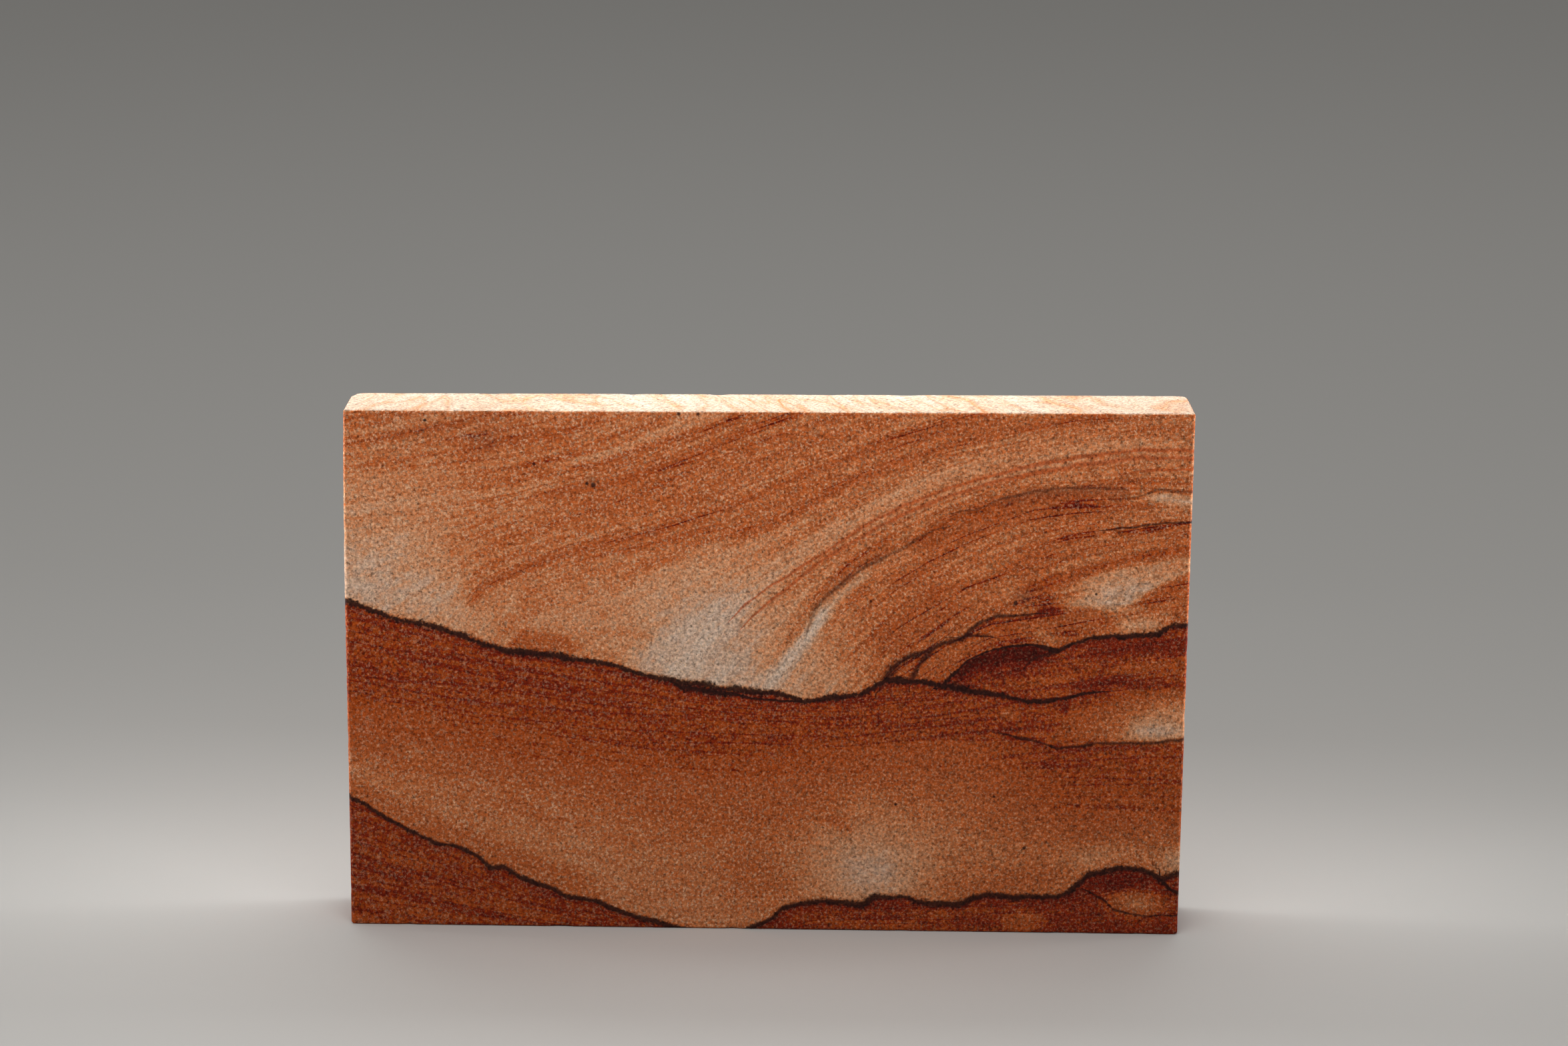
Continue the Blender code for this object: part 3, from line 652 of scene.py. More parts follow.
class SlabSettings(bpy.types.PropertyGroup):
    """Finish of the slab."""

    grain: bpy.props.FloatProperty(
        name="Sand grain", description="Width of one sand grain on the sawn face",
        default=0.3 * MM, min=0.1 * MM, max=1.0 * MM, unit="LENGTH", precision=5)
    roughness: bpy.props.FloatProperty(
        name="Roughness", description="How matt the unpolished sawn sand is",
        default=0.86, min=0.0, max=1.0, subtype="FACTOR")
    grain_relief: bpy.props.FloatProperty(
        name="Grain relief", description="How far the grains stand out of the sawn face",
        default=0.05 * MM, min=0.0, max=0.5 * MM, unit="LENGTH", precision=5)
    # Painted shade: the stone's colour is darkened towards its foot, standing in for the light that falls
    # off there
    painted_foot_shade: bpy.props.FloatProperty(
        name="Foot shade", description="Brightness of the stone at its foot, against 1 in its upper part",
        default=0.82, min=0.0, max=1.0, subtype="FACTOR")
    cream: bpy.props.FloatVectorProperty(
        name="Cream stone", description="Stone with the least iron",
        default=linear("#C8A288"), min=0, max=1, subtype="COLOR")
    tan: bpy.props.FloatVectorProperty(
        name="Tan stone", description="Stone with a little iron",
        default=linear("#C57748"), min=0, max=1, subtype="COLOR")
    rust: bpy.props.FloatVectorProperty(
        name="Rust stone", description="Stone of the orange-brown bands",
        default=linear("#AC5324"), min=0, max=1, subtype="COLOR")
    red: bpy.props.FloatVectorProperty(
        name="Dark red stone", description="Stone below the ridge and in the hills",
        default=linear("#621002"), min=0, max=1, subtype="COLOR")
    rust_line: bpy.props.FloatVectorProperty(
        name="Rust line", description="The thin rust-coloured lines across the right half",
        default=linear("#B04E20"), min=0, max=1, subtype="COLOR")
    quartz: bpy.props.FloatVectorProperty(
        name="Quartz grains", description="Single grains with no coat of iron",
        default=linear("#E3BC98"), min=0, max=1, subtype="COLOR")
    line: bpy.props.FloatVectorProperty(
        name="Ridge line", description="The nearly black iron and manganese lines",
        default=linear("#2A130F"), min=0, max=1, subtype="COLOR")
    grey: bpy.props.FloatVectorProperty(
        name="Grey stone", description="Greyish stone beside the pale streak",
        default=linear("#5E4737"), min=0, max=1, subtype="COLOR")


class StudioSettings(bpy.types.PropertyGroup):
    """Floor, light and camera."""

    floor_size: bpy.props.FloatProperty(
        name="Floor", description="Length of the floor's side",
        default=5.0, min=1.0, max=20.0, unit="LENGTH")
    floor_colour: bpy.props.FloatVectorProperty(
        name="Floor colour", description="Plain pale floor",
        default=linear("#C9C7C3"), min=0, max=1, subtype="COLOR")
    fill: bpy.props.FloatProperty(
        name="Fill light", description="Strength of the even light from all round",
        default=0.25, min=0.0, max=5.0)
    fill_colour: bpy.props.FloatVectorProperty(
        name="Fill colour", description="Colour of the even light",
        default=linear("#FBFAF8"), min=0, max=1, subtype="COLOR")
    overhead: bpy.props.FloatProperty(
        name="Overhead light", description="Power of the large soft light above",
        default=1.6, min=0.0, max=100.0, unit="POWER")
    front: bpy.props.FloatProperty(
        name="Front light", description="Power of the soft light above the slab's front",
        default=0.5, min=0.0, max=100.0, unit="POWER")
    top_strip: bpy.props.FloatProperty(
        name="Top strip", description="Power of the narrow light close above the slab's top",
        default=0.074, min=0.0, max=10.0, unit="POWER")
    side_lights: bpy.props.FloatProperty(
        name="Side lights", description="Power of each small light that faces an end of the slab",
        default=0.03, min=0.0, max=20.0, unit="POWER")
    lens: bpy.props.FloatProperty(
        name="Lens", description="Focal length, in millimetres on a frame 36 mm wide",
        default=90.0, min=20.0, max=300.0)


def left_end(up):
    """X of the left edge at this share of the height, in millimetres."""
    return FOOT_MIDDLE - FOOT_LENGTH / 2 - TOP_LEFT_OUT * up - LEFT_SWELL * math.sin(math.pi * up * up)


def right_end(up):
    return FOOT_MIDDLE + FOOT_LENGTH / 2 + TOP_RIGHT_OUT * up


def share_along(x):
    """Share of the way from the foot's left end to its right end."""
    return (x - FOOT_MIDDLE + FOOT_LENGTH / 2) / FOOT_LENGTH


def height(x):
    return HEIGHT_LEFT + (HEIGHT_RIGHT - HEIGHT_LEFT) * share_along(x)


def half_thickness(x):
    return (THICKNESS_LEFT + (THICKNESS_RIGHT - THICKNESS_LEFT) * share_along(x)) / 2


def corner_arc(centre_x, centre_y, radius, start_degrees):
    """A quarter circle in plan, counter-clockwise."""
    angles = np.radians(start_degrees + 90 * np.arange(ARC_STEPS + 1) / ARC_STEPS)
    return np.stack([centre_x + radius * np.cos(angles), centre_y + radius * np.sin(angles)], axis=1)


def plan_outline(up, inset):
    """The slab's outline in plan at this share of its height, drawn in by inset, counter-clockwise."""
    left = left_end(up) + inset
    right = right_end(up) - inset
    half_left = half_thickness(left) - inset
    half_right = half_thickness(right) - inset
    front = FRONT_UPRIGHT - inset
    back_left = BACK_LEFT_WORN - inset
    back_right = BACK_RIGHT_WORN - inset
    corners = [
        corner_arc(left + front, -half_left + front, front, 180),
        corner_arc(right - front, -half_right + front, front, 270),
        corner_arc(right - back_right, half_right - back_right, back_right, 0),
        corner_arc(left + back_left, half_left - back_left, back_left, 90),
    ]
    outline = []
    for index, corner in enumerate(corners):
        following = corners[(index + 1) % len(corners)]
        parts = THROUGH_PARTS if index % 2 else ALONG_PARTS
        shares = np.arange(1, parts)[:, None] / parts
        outline += [corner, corner[-1] + (following[0] - corner[-1]) * shares]
    return np.concatenate(outline)


def ring(up, turn, from_top):
    """One level loop round an arris: turn is 0 at the level face and 1 at the upright faces."""
    angle = math.radians(90 * turn)
    plan = plan_outline(up, LEVEL_ARRIS * (1 - math.sin(angle)))
    drop = LEVEL_ARRIS * (1 - math.cos(angle))
    z = height(plan[:, 0]) - drop if from_top else np.full(len(plan), drop)
    return np.column_stack([plan, z])


def side_ring(up):
    plan = plan_outline(up, 0)
    return np.column_stack([plan, height(plan[:, 0]) * up])


def middle_line(loop):
    """Where each point of a level loop goes when the level face closes on its middle line."""
    left = loop[:, 0].min() + THICKNESS_LEFT / 2
    right = loop[:, 0].max() - THICKNESS_RIGHT / 2
    x = np.clip(left + (right - left) * share_along(loop[:, 0]), left, right)
    face = ALONG_PARTS + ARC_STEPS
    side = THROUGH_PARTS + ARC_STEPS
    half_arc = ARC_STEPS // 2
    shares = np.arange(face + 1) / face
    x[half_arc:half_arc + face + 1] = left + (right - left) * shares
    x[half_arc + face:half_arc + face + side + 1] = right
    start = half_arc + face + side
    x[start:start + face + 1] = right - (right - left) * shares
    x[start + face:] = left
    x[:half_arc + 1] = left
    return np.column_stack([x, np.zeros(len(x)), height(x) if loop[0, 2] > 1 else np.zeros(len(x))])


def slab_loops():
    """Every level loop, from the middle of the foot round the outside to the middle of the top."""
    arris = [step / ARRIS_STEPS for step in range(ARRIS_STEPS + 1)]
    foot = [ring(0, turn, False) for turn in arris]
    sides = [side_ring(row / SIDE_ROWS) for row in range(1, SIDE_ROWS)]
    top = [ring(1, turn, True) for turn in reversed(arris)]
    shares = [step / CAP_STEPS for step in range(1, CAP_STEPS + 1)]
    foot_middle = middle_line(foot[0])
    top_middle = middle_line(top[-1])
    foot_cap = [foot[0] + (foot_middle - foot[0]) * share for share in reversed(shares)]
    top_cap = [top[-1] + (top_middle - top[-1]) * share for share in shares]
    return np.array(foot_cap + foot + sides + top + top_cap)


def waves(x, y, z, rate, seed):
    """Smooth unevenness from -1 to 1, at about this many radians a millimetre, the same each time."""
    draw = np.random.default_rng(seed)
    total = np.zeros(np.shape(x))
    for _ in range(WAVE_COUNT):
        way = draw.normal(size=3)
        way *= rate * draw.uniform(0.7, 1.3) / np.linalg.norm(way)
        total += np.sin(way[0] * x + way[1] * y + way[2] * z + draw.uniform(0, 2 * math.pi))
    return total / WAVE_COUNT * WAVE_GAIN


def weather(loops):
    """Draws the loops in by the grain's unevenness and by the chips along every arris."""
    x, y, z = np.moveaxis(loops, 2, 0)
    half = half_thickness(x)
    to_front = half - np.abs(y)
    up = z / height(x)
    to_left = x - np.vectorize(left_end)(up)
    to_right = np.vectorize(right_end)(up) - x
    to_level = np.minimum(z, height(x) - z)
    edges = np.sort(np.stack([to_front, np.minimum(to_left, to_right), to_level]), axis=0)
    near_arris = np.exp(-((edges[0] + edges[1]) / CHIP_REACH) ** 2)
    grain = 0.5 + 0.5 * waves(x, y, z, *GRAIN_FINE) * waves(x, y, z, *GRAIN_BROAD)
    chip_waves = waves(x, y, z, *CHIPS_FINE) + CHIP_BROAD_SHARE * waves(x, y, z, *CHIPS_BROAD)
    chips = np.clip(chip_waves - CHIP_THRESHOLD, 0, 1)
    depth = INSIDE + GRAIN_DEPTH * grain + CHIP_DEPTH * chips * near_arris
    away = np.stack([x - FOOT_MIDDLE, y, z - height(x) / 2], axis=2)
    inner = np.array([FOOT_LENGTH / 2, THICKNESS_LEFT / 2, HEIGHT_LEFT / 2]) - LEVEL_ARRIS - CORE_EXTRA
    out = np.sign(away) * np.clip(np.abs(away) - inner, 0, None)
    size = np.linalg.norm(out, axis=2, keepdims=True)
    return loops - depth[..., None] * out / np.maximum(size, 1e-9)


def trace(points, x, z):
    """Signed distance to an open line, positive on its left going along it, the share of its length at
    the nearest place, and its half width there where the points give one."""
    points = np.array(points, float)
    steps = np.diff(points, axis=0)
    lengths = np.hypot(steps[:, 0], steps[:, 1])
    nearest = np.full(x.shape, np.inf)
    side = np.ones(x.shape)
    share = np.zeros(x.shape)
    half = np.ones(x.shape)
    run = 0.0
    for start, step, length in zip(points, steps, lengths):
        along_x, along_z = step[:2] / length
        along = np.clip((x - start[0]) * along_x + (z - start[1]) * along_z, 0, length)
        gap_x = x - start[0] - along * along_x
        gap_z = z - start[1] - along * along_z
        gap = np.hypot(gap_x, gap_z)
        nearer = gap < nearest
        nearest = np.where(nearer, gap, nearest)
        side = np.where(nearer, np.where(along_x * gap_z < along_z * gap_x, -1.0, 1.0), side)
        share = np.where(nearer, (run + along) / lengths.sum(), share)
        if len(start) > 2:
            half = np.where(nearer, start[2] + step[2] * along / length, half)
        run += length
    return nearest * side, share, half


def ease(value):
    value = np.clip(value, 0, 1)
    return value * value * (3 - 2 * value)


def band_mask(band, x, z):
    gap, share, _ = trace(band.points, x, z)
    mask = band.strength * np.exp(-(gap / band.half) ** 2)
    if band.fade_in:
        mask = mask * ease(share / band.fade_in)
    if band.fade_out:
        mask = mask * ease((1 - share) / band.fade_out)
    return mask


def patch_mask(patch, x, z):
    slope = math.radians(patch.slope)
    along = (x - patch.x) * math.cos(slope) + (z - patch.z) * math.sin(slope)
    across = (z - patch.z) * math.cos(slope) - (x - patch.x) * math.sin(slope)
    return patch.strength * np.exp(-(along / patch.half_length) ** 2 - (across / patch.half_height) ** 2)


def lay(tone, patches, bands, x, z):
    """Lays patches and then bands over a tone."""
    for patch in patches:
        tone = tone + (patch.tone - tone) * patch_mask(patch, x, z)
    for band in bands:
        goal = SKY_TONE + BAND_CONTRAST * (band.tone - SKY_TONE)
        tone = tone + (goal - tone) * band_mask(band, x, z)
    return tone


def line_height(points, x):
    """Height of a line above each X, for a line that runs from left to right."""
    spots = np.array([point[:2] for point in points])
    return np.interp(x, spots[:, 0], spots[:, 1])


def ground_line(x):
    """Height of the edge between the banded stone above and the dark red stone below."""
    return np.where(x < SECOND[0][0], line_height(RIDGE, x), line_height(SECOND, x))


def under(points, x, z, soft):
    """How far each place is under a line, from 0 to 1; half way is on the line."""
    return ease((line_height(points, x) - z) / soft + 0.5)


def sky_tone(x, z):
    """Tone of the banded stone above the ridge."""
    sky = lay(np.full(x.shape, SKY_TONE), SKY_PATCHES, SKY_BANDS, x, z)
    sky = lay(sky, (), (STREAK, STREAK_END), x, z)
    wedge = lay(np.full(x.shape, WEDGE_TONE), WEDGE_PATCHES, (), x, z)
    in_wedge = under(WEDGE_TOP, x, z, WEDGE_TOP_SOFT) * (1 - under(WEDGE_FOOT, x, z, WEDGE_FOOT_SOFT))
    sky = sky + (wedge - sky) * in_wedge * ease((x - WEDGE_TOP[0][0]) / WEDGE_START_SOFT)
    in_lobes = ease((line_height(BRANCH, x) - z) / LOBES_TOP_SOFT)
    in_lobes = in_lobes * ease((x - BRANCH[0][0]) / LOBES_START_SOFT)
    in_lobes = in_lobes * ease((LOBES_END - x) / LOBES_END_SOFT)
    lobes = lay(np.where(x < LOBES_START, sky, LOBE_TONE), (), LOBE_BANDS, x, z)
    return sky + (lobes - sky) * in_lobes


def mass_tone(x, z):
    """Tone of the dark red stone below the ridge and of the paler plain below that."""
    ragged = waves(x / PLAIN_EDGE_STRETCH, 0, flow_between(LOW_FLOW, x, z), *PLAIN_WAVES)
    plain = under(PLAIN_EDGE, x, z - PLAIN_EDGE_RAGGED * ragged, PLAIN_EDGE_SOFT)
    mass = lay(MASS_TONE + (PLAIN_TONE - MASS_TONE) * plain, MASS_PATCHES, MASS_BANDS, x, z)
    under_low = ease((line_height(LOW_RIGHT, x) - z) / UNDER_LOW_TOP_SOFT)
    under_low = under_low * ease((x - UNDER_LOW_START) / UNDER_LOW_START_SOFT)
    under_low = under_low * ease((z - UNDER_LOW_FOOT) / UNDER_LOW_FOOT_SOFT)
    return mass + (UNDER_LOW_TONE - UNDER_LOW_PALER * plain - mass) * under_low


def add_hills(tone, x, z):
    left = lay(np.full(x.shape, LEFT_HILL_TONE), HILL_PATCHES, (), x, z)
    right = lay(np.full(x.shape, RIGHT_HILL_TONE), HILL_PATCHES, (), x, z)
    in_left = under(LEFT_HILL, x, z, HILL_TOP_SOFT) * ease((LEFT_HILL_END - x) / LEFT_HILL_END_SOFT)
    in_right = under(RIGHT_HILL, x, z, HILL_TOP_SOFT) * ease((x - RIGHT_HILL_START) / RIGHT_HILL_START_SOFT)
    tone = tone + (left - tone) * in_left
    return tone + (right - tone) * in_right


def add_halo(tone, x, z):
    """Adds the iron that spread from the dark lines; the faint ones spread none."""
    for name, group in LINE_GROUPS.items():
        if name == "faint_lines":
            continue
        for line in group.lines:
            gap, _, half = trace(line, x, z)
            reach = HALO_REACH * np.sqrt(half) * np.where(gap > 0, HALO_ABOVE, 1)
            halo = HALO_STRENGTH * np.exp(-(gap / reach) ** 2)
            tone = tone + (HALO_TONE - tone) * np.where(tone < HALO_TONE, halo, 0)
    return tone


def stone_tone(x, z):
    """How much iron the stone holds, from 0 for cream to 1 for dark red."""
    tone = np.where(z > ground_line(x), sky_tone(x, z), mass_tone(x, z))
    return add_halo(add_hills(tone, x, z), x, z)


def grey_stone(x, z):
    """Where the stone is greyish, from 0 to 1."""
    mask = np.zeros(x.shape)
    for band in GREY_BANDS:
        mask = np.maximum(mask, band_mask(band, x, z))
    return mask


def flow_between(lines, x, z):
    """Counts the streaks at each place between lines listed from the top down."""
    heights = []
    for points, _ in lines:
        heights.append(line_height(points, x) - FLOW_DIP * np.clip(points[0][0] - x, 0, None))
    counts = [count for _, count in lines]
    flow = counts[-1] + (z - heights[-1])
    pairs = list(zip(heights, heights[1:], counts, counts[1:]))
    for above, below, high, low in reversed(pairs):
        share = (z - below) / np.maximum(above - below, FLOW_LEAST_GAP)
        flow = np.where(z > below, low + (high - low) * np.clip(share, 0, 1), flow)
    return np.where(z > heights[0], counts[0] + (z - heights[0]), flow)


def streak_flow(x, z):
    return np.where(z > ground_line(x), flow_between(SKY_FLOW, x, z), flow_between(LOW_FLOW, x, z))


def picture_place(points):
    """Where each point of the slab falls on the picture face, as its bands run through the stone."""
    x, y, z = points.T
    depth = y + half_thickness(x)
    picture_x = x - FOOT_MIDDLE
    lean = BAND_LEAN * np.tanh((picture_x - LEAN_TURNS_AT) / LEAN_TURN_WIDTH)
    return np.clip(picture_x + lean * depth, -PICTURE_END, PICTURE_END), z


def add_values(mesh, name, values):
    """Stores one number or one vector for each vertex."""
    kind, field = ("FLOAT", "value") if values.ndim == 1 else ("FLOAT_VECTOR", "vector")
    layer = mesh.attributes.new(name, kind, "POINT")
    layer.data.foreach_set(field, values.astype(np.float32).ravel())


def top_share(points):
    """How far each point belongs to the sawn top, from 0 to 1."""
    x, _, z = points.T
    return ease((z - height(x) + TOP_STARTS) / TOP_SOFT)


def record_picture(mesh, points):
    """Stores on the mesh what the material draws its picture from."""
    x, z = picture_place(points)
    tone = stone_tone(x, z)
    # The top is painted paler, for the light that falls on it
    top = TOP_PAINTED_LIGHT_CONTRAST * tone + TOP_PAINTED_LIGHT_SHIFT
    add_values(mesh, "tone", tone + (top - tone) * top_share(points))
    add_values(mesh, "grey", grey_stone(x, z))
    add_values(mesh, "flow", streak_flow(x, z))
    wander = LINE_WANDER * waves(x, points[:, 1], z, *LINE_WAVES)
    for name, group in (*LINE_GROUPS.items(), ("rust_lines", RUST_GROUP)):
        parts = []
        for line in group.lines:
            gap, _, half = trace(line, x, z)
            parts.append((gap + wander) / half)
        add_values(mesh, name, np.stack(parts, axis=1))


def slab_faces(loop_count, loop_size):
    """Four-sided faces between neighbouring loops, as rows of vertex numbers."""
    lower = np.arange(loop_count - 1)[:, None] * loop_size
    here = np.arange(loop_size)[None, :]
    following = (here + 1) % loop_size
    corners = [lower + here, lower + following, lower + loop_size + following, lower + loop_size + here]
    return np.stack(corners, axis=2).reshape(-1, 4)


def weld_middles(faces, points):
    """Joins the points that meet on the middle line of each level face, and drops flat faces."""
    keys = np.round(points / WELD_DISTANCE).astype(np.int64)
    _, first, number = np.unique(keys, axis=0, return_index=True, return_inverse=True)
    number = number.ravel()
    kept = []
    for face in number[faces]:
        corners = [corner for place, corner in enumerate(face) if corner != face[place - 1]]
        if len(set(corners)) == len(corners) > 2:
            kept.append(corners)
    return kept, points[first]


def unwrap(mesh):
    """Lays the two big faces, the two long edges and the two ends out flat, at one scale."""
    layer = mesh.uv_layers.new(name="OFBake")
    corner_vertex = np.zeros(len(mesh.loops), np.int64)
    mesh.loops.foreach_get("vertex_index", corner_vertex)
    places = np.zeros(len(mesh.vertices) * 3)
    mesh.vertices.foreach_get("co", places)
    places = places.reshape(-1, 3)[corner_vertex] / MM
    normals = np.zeros(len(mesh.polygons) * 3)
    mesh.polygons.foreach_get("normal", normals)
    sizes = np.zeros(len(mesh.polygons), np.int64)
    mesh.polygons.foreach_get("loop_total", sizes)
    normals = np.repeat(normals.reshape(-1, 3), sizes, axis=0)
    main = np.argmax(np.abs(normals), axis=1)
    ahead = np.take_along_axis(normals, main[:, None], axis=1)[:, 0] > 0
    x, y, z = places.T
    flat = np.stack([np.where(main == 0, y, x), np.where(main == 2, y, z)], axis=1)
    for (axis, outward), place in SHEET_PLACES.items():
        flat[(main == axis) & (ahead == outward)] += place
    layer.data.foreach_set("uv", (flat / SHEET).astype(np.float32).ravel())


def node(tree, kind, settings=None, **links):
    """Adds a node. Settings are its properties, or its inputs by name or number; links feed its inputs."""
    made = tree.nodes.new(kind)
    for name, value in (settings or {}).items():
        if isinstance(name, str) and hasattr(made, name):
            setattr(made, name, value)
        else:
            made.inputs[name].default_value = value
    for name, source in links.items():
        key = int(name[1:]) if name[1:].isdigit() else name.replace("_", " ")
        socket = source if isinstance(source, bpy.types.NodeSocket) else source.outputs[0]
        tree.links.new(socket, made.inputs[key])
    return made


def about_nought(tree, noise, amount):
    """Noise from 0 to 1, spread over this amount with nought as its middle."""
    return node(tree, "ShaderNodeMath", {"operation": "MULTIPLY_ADD", 1: amount, 2: -amount / 2}, _0=noise)


def stone_colours(settings):
    """Stops of the stone's colour from the least iron to the most, with the tone of each."""
    return (
        # The palest stop also colours the sawn top, which is painted paler for the light that falls on it
        (-0.3, linear("#D2BBA8")),
        (0.0, settings.cream),
        (0.2, linear("#CD8F66")),
        (0.4, settings.tan),
        (0.55, linear("#B75D2B")),
        (0.7, settings.rust),
        (0.8, linear("#A94B1A")),
        (0.85, linear("#A0430D")),
        (0.9, linear("#822404")),
        (1.0, settings.red),
        (1.15, linear("#390A03")),
        (1.35, settings.line),
    )


def grain_noise(tree, place, size, apart):
    """Noise of this grain size; its place keeps it apart from the other noises."""
    moved = node(tree, "ShaderNodeVectorMath", {"operation": "ADD", 1: apart}, _0=place)
    return node(tree, "ShaderNodeTexNoise", {"Scale": 1 / size, "Detail": 1.0, "Roughness": 0.8}, _0=moved)


def sand_noises(tree, place, grain):
    """The noises of the sand. Some of them serve for colour and relief alike."""
    clouds = {"Scale": 1 / (CLOUD_SIZE * MM), "Detail": 2.0}
    coat = {"Scale": 1 / (grain * COAT_SIZE), "Detail": 1.5, "Roughness": 0.75}
    steps = {"Scale": 1 / (LINE_STEP * MM), "Detail": 3.0, "Roughness": 0.75}
    noises = {
        "clouds": node(tree, "ShaderNodeTexNoise", clouds, _0=place),
        "coat": node(tree, "ShaderNodeTexNoise", coat, _0=place),
        "steps": node(tree, "ShaderNodeTexNoise", steps, _0=place),
        "glints": grain_noise(tree, place, grain * GLINT_SIZE, GLINT_PLACE),
        "quartz": grain_noise(tree, place, grain * QUARTZ_SIZE, QUARTZ_PLACE),
        "hollows": grain_noise(tree, place, grain * HOLLOW_SIZE, HOLLOW_PLACE),
    }
    return {name: noise.outputs["Fac"] for name, noise in noises.items()}


def bedding_noise(tree, apart, flow, kind):
    """Noise drawn out along the bands, and less far through the slab."""
    along = node(tree, "ShaderNodeMath", {"operation": "MULTIPLY", 1: 1 / (kind.length * MM)},
                 _0=apart.outputs["X"])
    through = node(tree, "ShaderNodeMath", {"operation": "MULTIPLY", 1: 1 / (BEDDING_THROUGH * MM)},
                   _0=apart.outputs["Y"])
    place = node(tree, "ShaderNodeCombineXYZ", _0=along, _1=through, _2=flow)
    settings = {"Scale": kind.scale, "Detail": kind.detail, "Roughness": kind.roughness}
    return node(tree, "ShaderNodeTexNoise", settings, _0=place).outputs["Fac"]


def hairlines(tree, apart, tone, flow, bedded):
    """The tone that hairlines of iron add, 0.3 mm thick, where one bed ends and the next begins."""
    beds = bedding_noise(tree, apart, flow, BEDS)
    off_bed = node(tree, "ShaderNodeMath", {"operation": "SUBTRACT", 1: 0.5}, _0=beds)
    off_bed = node(tree, "ShaderNodeMath", {"operation": "ABSOLUTE"}, _0=off_bed)
    hairline = node(tree, "ShaderNodeMapRange", HAIRLINE, _0=off_bed)
    # Pale stone has none, and the sawn top, which cuts the beds at a slant, shows them more
    geometry = node(tree, "ShaderNodeNewGeometry")
    facing = node(tree, "ShaderNodeSeparateXYZ", _0=geometry.outputs["True Normal"])
    level = node(tree, "ShaderNodeMapRange", HAIRLINE_ON_TOP, _0=facing.outputs["Z"])
    iron = node(tree, "ShaderNodeMapRange", HAIRLINE_BY_TONE, _0=tone)
    drawn = node(tree, "ShaderNodeMath", {"operation": "MULTIPLY_ADD"}, _0=bedded, _1=iron, _2=level)
    return node(tree, "ShaderNodeMath", {"operation": "MULTIPLY"}, _0=hairline, _1=drawn)


def uneven_tone(tree, apart, tone, flow, sand):
    """Tone with its unevenness from bed to bed and from grain to grain; each noise spreads about nought."""
    # The stone below the ridge is bedded less plainly, and the darkest stone is the most even
    bedded = node(tree, "ShaderNodeMapRange", BEDDED_BY_FLOW, _0=flow)
    uneven = node(tree, "ShaderNodeMapRange", UNEVEN_BY_TONE, _0=tone)
    summed = node(tree, "ShaderNodeMath", {"operation": "ADD"}, _0=tone,
                  _1=hairlines(tree, apart, tone, flow, bedded))
    noises = (
        (bedding_noise(tree, apart, flow, STREAKS), STREAK_AMOUNT, True),
        (bedding_noise(tree, apart, flow, FINE_STREAKS), FINE_STREAK_AMOUNT, True),
        (sand["clouds"], CLOUD_AMOUNT, False),
        (sand["coat"], GRAIN_AMOUNT, False),
    )
    for noise, amount, along_beds in noises:
        shift = about_nought(tree, noise, amount)
        shift = node(tree, "ShaderNodeMath", {"operation": "MULTIPLY"}, _0=shift, _1=uneven)
        if along_beds:
            shift = node(tree, "ShaderNodeMath", {"operation": "MULTIPLY"}, _0=shift, _1=bedded)
        summed = node(tree, "ShaderNodeMath", {"operation": "ADD"}, _0=summed, _1=shift)
    return summed


def iron_colour(tree, settings, tone):
    """The stone's colour at each tone."""
    stops = stone_colours(settings)
    lowest, highest = stops[0][0], stops[-1][0]
    spread = node(tree, "ShaderNodeMapRange", {1: lowest, 2: highest, 3: 0.0, 4: 1.0}, _0=tone)
    ramp = node(tree, "ShaderNodeValToRGB", _0=spread)
    elements = ramp.color_ramp.elements
    while len(elements) < len(stops):
        elements.new(0.5)
    for element, (stop_tone, colour) in zip(elements, stops):
        element.position = (stop_tone - lowest) / (highest - lowest)
        element.color = (*colour, 1)
    return ramp


def quartz_cover(tree, tone, quartz):
    """How far clear quartz grains, paler than the iron round them, cover the stone."""
    clear = node(tree, "ShaderNodeMapRange", QUARTZ_SHOWN, _0=quartz)
    seen = node(tree, "ShaderNodeMapRange", QUARTZ_BY_TONE, _0=tone)
    return node(tree, "ShaderNodeMath", {"operation": "MULTIPLY"}, _0=clear, _1=seen)


def line_cover(tree, name, group, steps, ragged):
    """How far the lines of a group cover the stone, from their distances in half widths."""
    lines = node(tree, "ShaderNodeAttribute", {"attribute_name": name}).outputs["Vector"]
    moved = node(tree, "ShaderNodeVectorMath", {"operation": "ADD"}, _0=lines, _1=steps)
    gaps = node(tree, "ShaderNodeVectorMath", {"operation": "ABSOLUTE"}, _0=moved)
    three = node(tree, "ShaderNodeSeparateXYZ", _0=gaps)
    two = node(tree, "ShaderNodeMath", {"operation": "MINIMUM"}, _0=three.outputs[0], _1=three.outputs[1])
    one = node(tree, "ShaderNodeMath", {"operation": "MINIMUM"}, _0=two, _1=three.outputs[2])
    rough = node(tree, "ShaderNodeMath", {"operation": "ADD"}, _0=one, _1=ragged)
    fall = {"interpolation_type": "SMOOTHSTEP", 1: group.outer, 2: group.inner, 3: 0.0, 4: group.strength}
    return node(tree, "ShaderNodeMapRange", fall, _0=rough)


